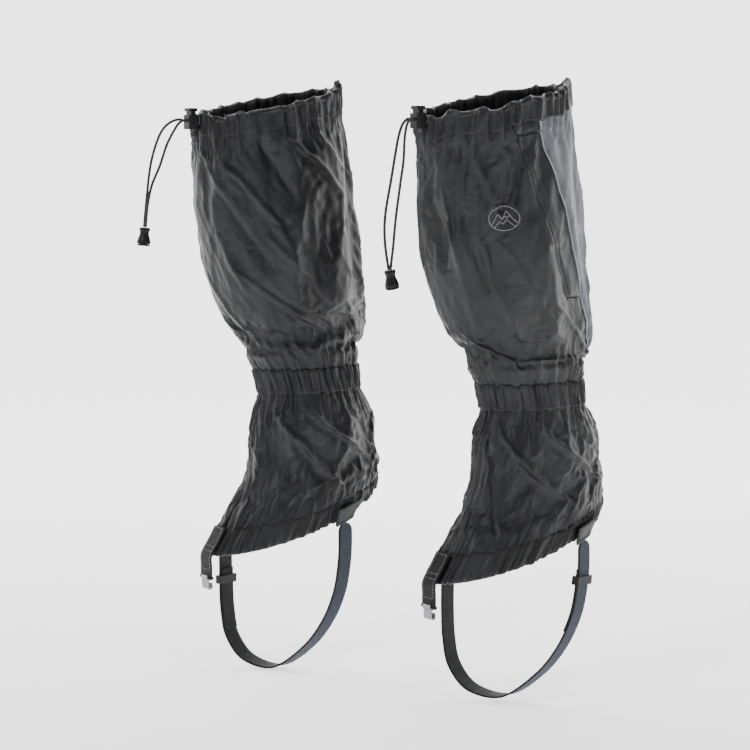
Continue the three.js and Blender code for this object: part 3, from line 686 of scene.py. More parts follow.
    def at(self, down: np.ndarray, angle: np.ndarray, out: float | np.ndarray = 0.0) -> np.ndarray:
        """Points on the settled cloth.

        Args:
            down: millimetres from the rim.
            angle: degrees from the toe round the outer side.
            out: millimetres outwards from the middle of the fabric.

        Returns:
            The points in the world, with their coordinates last.
        """
        down, angle, out = np.broadcast_arrays(*(np.asarray(v, float) for v in (down, angle, out)))
        row = np.clip(down / self.step_exact, 0, self.count - 1)
        column = (angle % 360) / 360 * self.columns
        point = self.sample(self.points, row, column)
        normal = unit(self.sample(self.normals, row, column))
        past = np.maximum(0, down - SHAPE.hem) - np.maximum(0, -down)
        point = point - np.stack([past * 0, past * 0, past], axis=-1) * MM
        return point + normal * out[..., None] * MM

    @property
    def step_exact(self) -> float:
        """The distance between the cloth's rows."""
        return SHAPE.hem / (self.count - 1)

    def sample(self, field_: np.ndarray, row: np.ndarray, column: np.ndarray) -> np.ndarray:
        """Reads one of the cloth's arrays smoothly between its points."""
        r0, c0 = np.floor(row).astype(int), np.floor(column).astype(int)
        rows, columns = self.weights(row - r0), self.weights(column - c0)
        total = 0
        for a, wa in enumerate(rows):
            line = 0
            at_row = np.clip(r0 + a - 1, 0, self.count - 1)
            for b, wb in enumerate(columns):
                line = line + wb[..., None] * field_[at_row, (c0 + b - 1) % self.columns]
            total = total + wa[..., None] * line
        return total

    @staticmethod
    def weights(t: np.ndarray) -> tuple[np.ndarray, ...]:
        """The four weights of a smooth curve through evenly spaced values."""
        return (
            0.5 * (-(t**3) + 2 * t**2 - t),
            0.5 * (3 * t**3 - 5 * t**2 + 2),
            0.5 * (-3 * t**3 + 4 * t**2 + t),
            0.5 * (t**3 - t**2),
        )


# ---------------------------------------------------------------- making pieces


def ridges(place: np.ndarray) -> np.ndarray:
    """Rounded ridges with sharper valleys, from -1 to 1, one for each half turn."""
    return 1 - 2 * np.abs(np.cos(place)) ** 0.75


def new_object(name: str, bm: bmesh.types.BMesh, material: bpy.types.Material) -> bpy.types.Object:
    """Makes a smooth-shaded object of a mesh being built, and frees it.

    Args:
        name: the piece's name.
        bm: the mesh being built.
        material: its finish.

    Returns:
        The object, in the scene.
    """
    mesh = bpy.data.meshes.new(name)
    bm.to_mesh(mesh)
    bm.free()
    mesh.materials.append(material)
    mesh.polygons.foreach_set("use_smooth", [True] * len(mesh.polygons))
    piece = bpy.data.objects.new(name, mesh)
    bpy.context.scene.collection.objects.link(piece)
    return piece


@dataclass
class Panel:
    """A piece of cloth cut from the skin: its size, its grid and how it lies.

    The surface is read as lie(s, t), with s across from 0 to 1 and t down from 0 to 1.
    """

    name: str
    lie: Callable[[np.ndarray, np.ndarray], np.ndarray]
    columns: int
    rows: int
    finish: bpy.types.Material
    thickness: float = 0.8
    ring: bool = False
    folded: bool = False
    outwards: Callable[[np.ndarray], np.ndarray] | None = None

    def make(self) -> bpy.types.Object:
        """Makes the piece.

        Returns:
            The object, with its UV map in metres on the cloth.
        """
        bm = bmesh.new()
        layer = bm.loops.layers.uv.new("cloth")
        grid = bmesh.ops.create_grid(bm, x_segments=self.columns, y_segments=self.rows, size=0.5)
        verts = list(grid["verts"])
        flat = np.array([(v.co.x + 0.5, 0.5 - v.co.y) for v in verts])
        width, length = self.measure()
        for vert, (s, t) in zip(verts, flat):
            for loop in vert.link_loops:
                loop[layer].uv = (s * width, t * length)
        points = self.lie(flat[:, 0], flat[:, 1])
        for vert, point in zip(verts, points):
            vert.co = point
        wide, tall = self.columns + 1, self.rows + 1
        order = sorted(range(len(verts)), key=lambda k: (round(flat[k][1] * self.rows), flat[k][0]))
        table = [[verts[order[j * wide + i]] for i in range(wide)] for j in range(tall)]
        joins = {}
        if self.ring:
            joins.update({row[-1]: row[0] for row in table})
        if self.folded:
            last, first = table[-1], table[0]
            count = self.columns if self.ring else wide
            joins.update({last[i]: first[i] for i in range(count)})
            if self.ring:
                joins[last[-1]] = first[0]
        if joins:
            bmesh.ops.weld_verts(bm, targetmap=joins)
        bm.normal_update()
        self.turn_out(bm)
        piece = new_object(self.name, bm, self.finish)
        if self.thickness and not self.folded:
            solid = piece.modifiers.new("thickness", "SOLIDIFY")
            solid.thickness = self.thickness * MM
            solid.offset = 0
            solid.use_even_offset = False
        return piece

    def measure(self) -> tuple[float, float]:
        """The piece's width and length on the cloth, in metres."""
        steps = np.linspace(0, 1, 90)
        across = self.lie(steps, np.full(90, 0.5))
        down = self.lie(np.full(90, 0.5), steps)
        return tuple(float(np.linalg.norm(np.diff(line, axis=0), axis=1).sum()) for line in (across, down))

    def turn_out(self, bm: bmesh.types.BMesh) -> None:
        """Turns the faces outwards."""
        if self.ring and self.folded:
            bmesh.ops.recalc_face_normals(bm, faces=bm.faces)
            return
        if self.outwards is None:
            return
        bm.faces.ensure_lookup_table()
        picked = list(bm.faces)[:: max(1, len(bm.faces) // 400)]
        centres = np.array([f.calc_center_median()[:] for f in picked])
        normals = np.array([f.normal[:] for f in picked])
        if (normals * self.outwards(centres)).sum() < 0:
            bmesh.ops.reverse_faces(bm, faces=bm.faces)


def grid_rows(bm: bmesh.types.BMesh, across: int, count: int) -> list[list[bmesh.types.BMVert]]:
    """Makes a flat grid and sorts its vertices.

    Args:
        bm: the mesh being built.
        across: how many faces each row has.
        count: how many rows of vertices it has.

    Returns:
        The rows, each from one side to the other.
    """
    grid = bmesh.ops.create_grid(bm, x_segments=across, y_segments=count - 1, size=0.5)
    verts = sorted(grid["verts"], key=lambda v: (-round((v.co.y + 0.5) * (count - 1)), v.co.x))
    return [verts[k * (across + 1):(k + 1) * (across + 1)] for k in range(count)]


def soften(piece: bpy.types.Object, width: float, segments: int, angle: float) -> bpy.types.Modifier:
    """Rounds the sharp edges of a piece.

    Args:
        piece: the piece.
        width: how wide the rounding is, in metres.
        segments: how many faces it has across.
        angle: the least angle of an edge that is rounded, in degrees.

    Returns:
        The modifier.
    """
    edges = piece.modifiers.new("edges", "BEVEL")
    edges.width, edges.segments = width, segments
    edges.limit_method, edges.angle_limit = "ANGLE", math.radians(angle)
    return edges


@dataclass
class Tube:
    """A round piece along a line of points, such as a cord, a piping or a wire."""

    name: str
    points: np.ndarray
    diameter: float
    finish: bpy.types.Material
    sides: int = 12
    ring: bool = False
    taper: tuple[float, float] = (1.0, 1.0)

    def make(self) -> bpy.types.Object:
        """Makes the piece.

        Returns:
            The object, with its UV map in metres along and round it.
        """
        bm = bmesh.new()
        layer = bm.loops.layers.uv.new("cloth")
        points = np.asarray(self.points, float)
        count = len(points)
        ahead = np.roll(points, -1, 0) - np.roll(points, 1, 0) if self.ring else np.gradient(points, axis=0)
        ahead /= np.linalg.norm(ahead, axis=1, keepdims=True)
        side = np.cross(ahead[0], (0.31, 0.2, 0.93))
        rows = grid_rows(bm, self.sides, count)
        length = distances(points)
        turns = np.arange(self.sides + 1) * TURN / self.sides
        for k, row in enumerate(rows):
            side = side - ahead[k] * np.dot(side, ahead[k])
            side /= np.linalg.norm(side)
            other = np.cross(ahead[k], side)
            share = k / (count - 1)
            radius = self.diameter / 2 * (self.taper[0] + (self.taper[1] - self.taper[0]) * share)
            for vert, turn in zip(row, turns):
                for loop in vert.link_loops:
                    loop[layer].uv = (turn * self.diameter / 2, length[k])
                vert.co = points[k] + (side * math.cos(turn) + other * math.sin(turn)) * radius
        joins = {row[-1]: row[0] for row in rows}
        if self.ring:
            joins.update({b: a for a, b in zip(rows[0][:-1], rows[-1][:-1])})
            joins[rows[-1][-1]] = rows[0][0]
        bmesh.ops.weld_verts(bm, targetmap=joins)
        if not self.ring:
            ends = [e for e in bm.edges if e.is_boundary]
            bmesh.ops.holes_fill(bm, edges=ends, sides=0)
        bmesh.ops.recalc_face_normals(bm, faces=bm.faces)
        return new_object(self.name, bm, self.finish)


@dataclass
class Stitching:
    """A line of separate stitches laid just proud of the cloth."""

    name: str
    finish: bpy.types.Material
    pitch: float = 3.4 * MM
    length: float = 2.5 * MM
    thread: float = 0.55 * MM
    bm: bmesh.types.BMesh = field(default_factory=bmesh.new)

    def line(self, points: np.ndarray) -> None:
        """Adds one line of stitches.

        Args:
            points: close points along the line, in the world.
        """
        length = distances(points)
        count = max(1, int(length[-1] / self.pitch))
        for k in range(count):
            start = (k + 0.5) * length[-1] / count - self.length / 2
            at = start + self.length * np.array([0.0, 0.12, 0.5, 0.88, 1.0])
            path = np.stack([np.interp(at, length, points[:, a]) for a in range(3)], axis=1)
            self.stitch(path, (0.25, 0.9, 1.0, 0.9, 0.25))

    def stitch(self, path: np.ndarray, widths: Sequence[float]) -> None:
        """Adds one stitch, as a short rounded thread."""
        ahead = path[-1] - path[0]
        ahead = ahead / max(np.linalg.norm(ahead), 1e-9)
        side = np.cross(ahead, (0.3, 0.2, 0.93))
        side /= np.linalg.norm(side)
        other = np.cross(ahead, side)
        rings = []
        for point, width in zip(path, widths):
            turns = np.arange(6) * TURN / 6
            around = np.outer(np.cos(turns), side) + np.outer(np.sin(turns), other)
            ring = [self.bm.verts.new(point + step * width * self.thread / 2) for step in around]
            edges = [self.bm.edges.new((ring[i], ring[(i + 1) % 6])) for i in range(6)]
            rings.append((ring, edges))
        for (_, low), (_, high) in zip(rings, rings[1:]):
            bmesh.ops.bridge_loops(self.bm, edges=low + high)
        for ring, _ in (rings[0], rings[-1]):
            self.bm.faces.new(ring)

    def make(self) -> bpy.types.Object:
        """Makes every stitch added so far one piece.

        Returns:
            The object.
        """
        bmesh.ops.recalc_face_normals(self.bm, faces=self.bm.faces)
        return new_object(self.name, self.bm, self.finish)


# ---------------------------------------------------------------- one gaiter


@dataclass(frozen=True)
class Rim:
    """How ragged the gathered rim is: bumps as (angle, width, height) and the gathers between."""

    bumps: tuple[tuple[float, float, float], ...]
    scallop: float = 1.1

    def lift(self, angle: np.ndarray) -> np.ndarray:
        """How far the rim stands above the smooth leg's, in millimetres."""
        height = self.scallop * ridges(np.radians(angle) * 9 + 0.8 * np.sin(np.radians(angle) * 4))
        for centre, width, tall in self.bumps:
            away = (angle - centre + 180) % 360 - 180
            height = height + tall * np.exp(-((away / width) ** 2))
        return height


RIMS = {
    Side.LEFT: Rim(
        (
            (158, 9, 5.5), (140, 14, 2.5), (-14, 6, 4.5), (12, 7, -3.5), (28, 6, 2), (62, 8, -3),
            (88, 8, 2),
        )
    ),
    Side.RIGHT: Rim(
        ((206, 8, 6.5), (222, 14, 2.0), (352, 6, 4.5), (332, 7, -3.5), (310, 8, -2.5), (283, 9, -2.0))
    ),
}


def level(angle: float) -> Edge:
    """An edge that stays at one angle."""
    return lambda down: np.full_like(down, angle)


def beside(edge: Edge, by: float) -> Edge:
    """An edge that runs beside another, some degrees round from it."""
    return lambda down: edge(down) + by


def about(angle: float, half: Edge, sign: int) -> Edge:
    """An edge to one side of a middle angle, by half a width that may change along it."""
    return lambda down: angle + sign * half(down)


@dataclass
class Cloths:
    """Every fabric piece of one gaiter, laid on its skin."""

    place: Placement
    skin: Skin
    finishes: Finishes

    @property
    def side(self) -> Side:
        """Which gaiter this is."""
        return self.place.side

    def gathers(self, down: np.ndarray, angle: np.ndarray) -> np.ndarray:
        """The height of the fine gathers that the cord and the elastics draw, in millimetres."""
        turn = np.radians(angle)
        wander = 1.6 * np.sin(3 * turn + 0.4) + 1.1 * np.sin(7 * turn + self.skin.seed) + 0.02 * down
        rim = np.exp(-((np.maximum(0, down - 16) / 20) ** 1.4))
        height = 2.0 * rim * ridges(13 * turn + wander + 0.3 * np.sin(31 * turn))
        height = height + 0.7 * rim * ridges(29 * turn + 1.7 * wander)
        near = np.abs(down - SHAPE.ankle)
        for count, size, reach, slant in ((23, 1.2, 20, 0.0), (15, 1.3, 46, 0.018), (41, 0.75, 15, 0.0)):
            fan = np.where(down > SHAPE.ankle, slant * (down - SHAPE.ankle), 0)
            height = height + size * np.exp(-((near / reach) ** 1.8)) * ridges(count * turn + wander + fan)
        low = np.maximum(0, SHAPE.hem - SHAPE.hem_height / 2 - down)
        for count, size, reach in ((43, 0.8, 12), (27, 1.1, 18), (18, 1.1, 34)):
            height = height + size * np.exp(-((low / reach) ** 1.6)) * ridges(count * turn + 1.4 * wander)
        return height

    def crumple(self, down: np.ndarray, angle: np.ndarray) -> np.ndarray:
        """The height of the small sharp creases of stiff nylon, in millimetres."""
        turn = np.radians(angle)
        rng = np.random.default_rng(self.skin.seed + 40)
        height = np.zeros(np.broadcast(down, angle).shape)
        for _ in range(16):
            waves = int(rng.integers(5, 21))
            slant = rng.uniform(-0.10, 0.13)
            line = waves * turn + slant * down + rng.uniform(0, TURN)
            bend = 0.7 * np.sin(rng.integers(2, 6) * turn + rng.uniform(0.01, 0.05) * down)
            height = height + rng.uniform(0.05, 0.17) * ridges(line + bend)
        return height

    def on(self, down: np.ndarray, angle: np.ndarray, out: np.ndarray | float = 0.0) -> np.ndarray:
        """Points on the finished cloth, with its gathers and creases.

        Args:
            down: millimetres from the rim.
            angle: degrees from the toe round the outer side.
            out: millimetres outwards.

        Returns:
            The points in the world.
        """
        down, angle = np.broadcast_arrays(np.asarray(down, float), np.asarray(angle, float))
        height = self.gathers(down, angle) + self.crumple(down, angle)
        points = self.skin.at(down, angle, height + out)
        fall = np.clip(1 - down / 60, 0, 1.2) ** 2
        rise = RIMS[self.side].lift(angle) * fall * MM
        return points + np.stack([rise * 0, rise * 0, rise], axis=-1)

    def outwards(self, points: np.ndarray) -> np.ndarray:
        """Rough directions away from the leg's middle at points on it."""
        share = np.clip((0.27 - points[:, 2]) / 0.4, 0, 1)
        middle = self.place.leg(share * SHAPE.hem, np.zeros(len(points)), 0) / 2
        middle = middle + self.place.leg(share * SHAPE.hem, np.full(len(points), 180.0), 0) / 2
        away = points - middle
        away[:, 2] = 0
        return away

    def panel(
        self,
        name: str,
        downs: tuple[float, float],
        start: Edge,
        end: Edge,
        out: Callable[[np.ndarray, np.ndarray], np.ndarray] | float,
        finish: bpy.types.Material,
        grid: float = 1.7,
        thickness: float = 0.8,
        lie_on: Callable | None = None,
    ) -> Panel:
        """A flat piece of cloth between two distances and two angles.

        Args:
            name: the piece's name without its side.
            downs: its top and bottom, in millimetres from the rim.
            start: its first angle at each distance.
            end: its last angle at each distance.
            out: how far out it lies, in millimetres.
            finish: its material.
            grid: its grid's spacing, in millimetres.
            thickness: its thickness, in millimetres.
            lie_on: the surface it lies on, when not this gaiter's own.

        Returns:
            The panel, ready to make.
        """
        surface = lie_on or self.on

        def lie(s: np.ndarray, t: np.ndarray) -> np.ndarray:
            """The panel's surface."""
            down = downs[0] + (downs[1] - downs[0]) * t
            first, last = start(down), end(down)
            angle = first + (last - first) * s
            lift = out(down, angle) if callable(out) else out
            return surface(down, angle, lift)

        middle = np.array([(downs[0] + downs[1]) / 2])
        arc = float((end(middle) - start(middle))[0]) * 1.15
        grid = grid * 1
        columns, rows = max(4, int(arc / grid)), max(4, int((downs[1] - downs[0]) / grid))
        return Panel(self.side.node(name), lie, columns, rows, finish, thickness, outwards=self.outwards)

    def band(
        self, name: str, section: Sequence[tuple[float, float]], finish: bpy.types.Material, grid: float = 1.5
    ) -> Panel:
        """A folded band right round the leg.

        Args:
            name: the piece's name without its side.
            section: its closed outline as (down, out) points, in millimetres.
            finish: its material.
            grid: its spacing round the leg, in millimetres.

        Returns:
            The panel, ready to make.
        """
        points = np.array([*section, section[0]], float)
        places = np.linspace(0, 1, len(points))

        def lie(s: np.ndarray, t: np.ndarray) -> np.ndarray:
            """The band's surface, with its section along t and the way round along s."""
            down = np.interp(t, places, points[:, 0])
            out = np.interp(t, places, points[:, 1])
            turn = s * TURN
            wave = 0.7 * np.sin(19 * turn + np.sin(5 * turn)) + 0.4 * np.sin(33 * turn)
            return self.on(down + wave * (0 < down) * (down < SHAPE.hem - 4), s * 360, out)

        columns = int(460 / (grid * 1))
        rows = (len(points) - 1) * 2
        return Panel(self.side.node(name), lie, columns, rows, finish, 0, ring=True, folded=True)


@dataclass
class Fabric(Cloths):
    """The panels, bands and stitching, made and given to their bodies."""

    def panels(self) -> None:
        """Makes the leg's and the boot's panels and the closure."""
        seam = SHAPE.seam_angle
        root = beside(seam, -SHAPE.flap_angle)
        top, bottom = 8.0, SHAPE.ankle
        shell = self.finishes.shell
        first = SHAPE.rear_edge - 360
        low, high = SHAPE.flap_rows
        parts = [
            ("main_panel", (top, bottom), level(first), root),
            ("main_panel_above_flap", (top, low), root, seam),
            ("main_panel_below_flap", (high, bottom), root, seam),
        ]
        made = [self.panel(name, downs, a, b, 0.0, shell).make() for name, downs, a, b in parts]
        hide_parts(self.side.node("main_panel"))
        for piece in made:
            give(piece, self.side)
        self.rear()
        self.closure(root, seam)
        for name, start, end in (("boot_outer_panel", 0.0, 180.0), ("boot_inner_panel", 180.0, 360.0)):
            boot = self.panel(name, (SHAPE.ankle, 406.0), level(start), level(end), 0.0, shell, 1.5).make()
            give(boot, self.side, name)

    def rear(self) -> None:
        """Makes the rear panel, which lies under the flap and comes out to the main panel's edge."""
        seam = SHAPE.seam_angle

        def out(down: np.ndarray, angle: np.ndarray) -> np.ndarray:
            """How far the rear panel lies from the main panel's level."""
            share = np.clip((angle - (SHAPE.rear_edge - 34)) / 34, 0, 1)
            under = -3.0 + 1.8 * share * share * (3 - 2 * share)
            free = np.clip((angle - seam(down)) / 9, 0, 1)
            return under + np.clip(2.6 * free, 0, 2.4) * (1 - share)

        start, end = beside(seam, -17), level(SHAPE.rear_edge + 8)
        # Its light grey finish is painted sheen on black nylon.
        rear = self.panel("rear_panel", (8.0, SHAPE.ankle), start, end, out, self.finishes.grey, 1.6).make()
        give(rear, self.side, "rear_panel")

    def closure(self, root: Edge, seam: Edge) -> None:
        """Makes the flap, its tapes and its piping, between its root's angles and the seam's. The piping's
        pale grey is a painted highlight along the flap's folded edge.
        """
        low, high = SHAPE.flap_rows
        body = self.side.node("closure_flap")
        begin = beside(root, 0.4)
        ends = (low + 1.4, high - 1.4)
        flap = self.panel("closure_flap", ends, begin, seam, 0.0, self.finishes.shell).make()
        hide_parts(body)
        fold = self.flap_fold(begin, seam)
        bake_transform(flap)
        for name, out, rides in (("hook_tape", -1.1, body), ("loop_tape", -2.0, "root")):
            downs = (low + 6, high - 6)
            tape = self.panel(
                name, downs, beside(root, 3), beside(seam, -3), out, self.finishes.pile, 1.8, 0.5
            ).make()
            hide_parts(self.side.node(name))
            if rides == body:
                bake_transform(tape)
            else:
                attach(tape, rides)
        # The pipings' pale grey is painted highlight along the folded edge and the seam.
        for name, downs, rides in (
            ("flap_piping", ends, body),
            ("upper_piping", (20.5, low - 0.6), "root"),
            ("lower_piping", (high + 0.6, 254.0), "root"),
        ):
            along = np.linspace(*downs, 140)
            points = self.on(along, seam(along) + 0.3, 0.45)
            piping = Tube(self.side.node(name), points, 1.5 * MM, self.finishes.piping, 10).make()
            give(piping, self.side, body=rides)

    def flap_fold(self, root: Edge, seam: Edge) -> tuple[Vector, Vector]:
        """Finds where the flap bends when it opens: from its sewn root to a little way across it.

        Args:
            root: the root's angle at each row.
            seam: the free edge's angle at each row.

        Returns:
            The point where the bend begins and the point where it ends.
        """
        rows = np.linspace(*SHAPE.flap_rows, 30)
        sewn, free = (np.asarray(self.on(rows, edge(rows), 0.0)) for edge in (root, seam))
        middle = sewn.mean(axis=0)
        axis = unit(sewn[-1] - sewn[0])
        across = free.mean(axis=0) - middle
        across = unit(across - (across @ axis) * axis)
        begin = middle + across * ((sewn - middle) @ across).max()
        return Vector(begin), Vector(begin + across * 7 * MM)

    def bands(self) -> None:
        """Makes the drawcord casing, the ankle casing and the hem's binding."""
        ankle, half = SHAPE.ankle, SHAPE.ankle_height / 2
        hem, deep = SHAPE.hem, SHAPE.hem_height
        rows = {
            "drawcord_casing": [
                (20, 0.9), (16, 1.5), (11, 1.8), (8, 2.3), (4.3, 2.7), (1.6, 2.3), (0, 1.2), (-0.4, 0),
                (0, -1.2), (1.6, -2.3), (4.3, -2.5), (8, -2.2), (14, -1.7), (20, -1.2), (20.2, 0),
            ],
            "ankle_casing": [
                (ankle + half, 0.7), (ankle + half - 1, 1.7), (ankle + half - 5, 2.5), (ankle, 2.8),
                (ankle - half + 5, 2.5), (ankle - half + 1, 1.7), (ankle - half, 0.7), (ankle, 0.5),
            ],
            "ankle_elastic": [
                (ankle - 9, 0.9), (ankle - 9, 1.5), (ankle, 1.6), (ankle + 9, 1.5), (ankle + 9, 0.9),
                (ankle, 0.8),
            ],
            "hem_casing": [
                (hem - deep, 0.9), (hem - deep + 3, 1.7), (hem - 8, 2.4), (hem - 4, 2.7), (hem - 1, 2.2),
                (hem, 0.8), (hem, -0.8), (hem - 1, -2.0), (hem - 6, -2.2), (hem - deep, -1.5),
                (hem - deep - 0.2, 0),
            ],
        }
        kinds = {
            "drawcord_casing": ("shell_fabric", self.finishes.shell),
            "ankle_casing": ("shell_fabric", self.finishes.shell),
            "ankle_elastic": ("elastic", self.finishes.elastic),
            "hem_casing": ("binding", self.finishes.binding),
        }
        made = {name: self.band(name, section, kinds[name][1]).make() for name, section in rows.items()}
        ring = np.linspace(0, 360, 300, endpoint=False)
        fold = self.on(np.full_like(ring, hem - 3.4), ring, 0.1)
        made["hem_elastic"] = Tube(
            self.side.node("hem_elastic"), fold, 2.2 * MM, self.finishes.elastic, 10, ring=True
        ).make()
        for name, piece in made.items():
            give(piece, self.side, name)

    def stitches(self) -> None:
        """Makes the lines of stitching."""
        seam = SHAPE.seam_angle
        ring = np.linspace(0, 360, 900)
        fixed = Stitching(self.side.node("stitching"), self.finishes.thread)
        for down, out in ((18.4, 1.45), (259.0, 2.4), (277.0, 2.4), (394.5, 1.7)):
            fixed.line(self.on(np.full_like(ring, down), ring, out))
        for downs in ((21.0, 27.0), (173.0, 255.0)):
            along = np.linspace(*downs, 200)
            fixed.line(self.on(along, seam(along) - 2.2, 0.55))
        along = np.linspace(22, 255, 500)
        fixed.line(self.on(along, np.full_like(along, SHAPE.rear_edge + 1.6), 0.55))
        give(fixed.make(), self.side)
        loose = Stitching(self.side.node("flap_stitching"), self.finishes.thread)
        along = np.linspace(SHAPE.flap_rows[0] + 3, SHAPE.flap_rows[1] - 3, 400)
        for inset in (2.2, 15.5):
            loose.line(self.on(along, seam(along) - inset, 0.55))
        give(loose.make(), self.side, body=self.side.node("closure_flap"))


# ---------------------------------------------------------------- webbing, cord and hardware


def catmull(points: np.ndarray, count: int) -> np.ndarray:
    """A smooth line through points, bending least where they lie close, read at even distances.

    Args:
        points: the points it passes through.
        count: how many points to return.

    Returns:
        Points along the line.
    """
    points = np.asarray(points, float)
    points = np.vstack([2 * points[0] - points[1], points, 2 * points[-1] - points[-2]])
    knots = np.concatenate([[0], np.cumsum(np.linalg.norm(np.diff(points, axis=0), axis=1) ** 0.5)])
    line = []
    for k in range(1, len(points) - 2):
        t0, t1, t2, t3 = knots[k - 1:k + 3]
        p0, p1, p2, p3 = points[k - 1:k + 3]
        t = np.linspace(t1, t2, 24, endpoint=k == len(points) - 3)[:, None]
        a1 = ((t1 - t) * p0 + (t - t0) * p1) / (t1 - t0)
        a2 = ((t2 - t) * p1 + (t - t1) * p2) / (t2 - t1)
        a3 = ((t3 - t) * p2 + (t - t2) * p3) / (t3 - t2)
        b1 = ((t2 - t) * a1 + (t - t0) * a2) / (t2 - t0)
        b2 = ((t3 - t) * a2 + (t - t1) * a3) / (t3 - t1)
        line.append(((t2 - t) * b1 + (t - t1) * b2) / (t2 - t1))
    fine = np.vstack(line)
    length = distances(fine)
    even = np.linspace(0, length[-1], count)
    return np.stack([np.interp(even, length, fine[:, a]) for a in range(3)], axis=1)


def line_length(points: np.ndarray) -> float:
    """The length of a line of points."""
    return float(np.linalg.norm(np.diff(points, axis=0), axis=1).sum())


@dataclass
class Ribbon:
    """Flat webbing along a line, its width across and its faces along and against out."""

    name: str
    centres: np.ndarray
    across: np.ndarray
    out: np.ndarray
    widths: np.ndarray
    thickness: float
    finish: bpy.types.Material
    inner: int = -1

    def make(self) -> bpy.types.Object:
        """Makes the piece, with its inner face marked as an attribute for the painted sheen of that face.

        Returns:
            The object, with its UV map in metres along and across it.
        """
        half = self.thickness / 2
        shape = []
        for step in range(9):
            shape.append((-1 + step / 4, 0.0, 1))
        shape += [(1, 0.7, 0.7), (1, 1, 0), (1, 0.7, -0.7)]
        for step in range(9):
            shape.append((1 - step / 4, 0.0, -1))
        shape += [(-1, 0.7, -0.7), (-1, 1, 0), (-1, 0.7, 0.7)]
        count, sides = len(self.centres), len(shape)
        bm = bmesh.new()
        layer = bm.loops.layers.uv.new("cloth")
        # This attribute marks the inner face, which gets the painted sheen colour.
        tone = bm.verts.layers.float.new("inner_face_painted_sheen")
        rows = grid_rows(bm, sides, count)
        length = distances(self.centres)
        for k, row in enumerate(rows):
            flat = max(self.widths[k] / 2 - half * 0.8, 1e-5)
            for vert, (place, past, face) in zip(row, [*shape, shape[0]]):
                x = place * flat + math.copysign(past * half * 0.8, place)
                for loop in vert.link_loops:
                    loop[layer].uv = (length[k], x + (0.05 if face < 0 else 0))
                vert.co = self.centres[k] + self.across[k] * x + self.out[k] * face * half
                vert[tone] = 1.0 if face == self.inner and abs(place) < 0.99 else 0.0
        bmesh.ops.weld_verts(bm, targetmap={row[-1]: row[0] for row in rows})
        bmesh.ops.holes_fill(bm, edges=[e for e in bm.edges if e.is_boundary], sides=0)
        bmesh.ops.recalc_face_normals(bm, faces=bm.faces)
        return new_object(self.name, bm, self.finish)


@dataclass
class Lathe:
    """A turned piece: a profile of (radius, height) points in millimetres, spun about a line."""

    name: str
    profile: Sequence[tuple[float, float]]
    foot: np.ndarray
    up: np.ndarray
    finish: bpy.types.Material
    steps: int = 40

    def make(self) -> bpy.types.Object:
        """Makes the piece.

        Returns:
            The object, placed in the world.
        """
        bm = bmesh.new()
        points = [bm.verts.new((radius * MM, 0, height * MM)) for radius, height in self.profile]
        edges = [bm.edges.new(pair) for pair in zip(points, points[1:])]
        bmesh.ops.spin(
            bm, geom=points + edges, cent=(0, 0, 0), axis=(0, 0, 1), angle=TURN, steps=self.steps,
            use_merge=True,
        )
        bmesh.ops.remove_doubles(bm, verts=bm.verts, dist=0.01 * MM)
        bmesh.ops.recalc_face_normals(bm, faces=bm.faces)
        turn = Vector((0, 0, 1)).rotation_difference(Vector(self.up)).to_matrix().to_4x4()
        bmesh.ops.transform(bm, matrix=Matrix.Translation(Vector(self.foot)) @ turn, verts=bm.verts)
        piece = new_object(self.name, bm, self.finish)
        soften(piece, 0.18 * MM, 2, 34)
        return piece


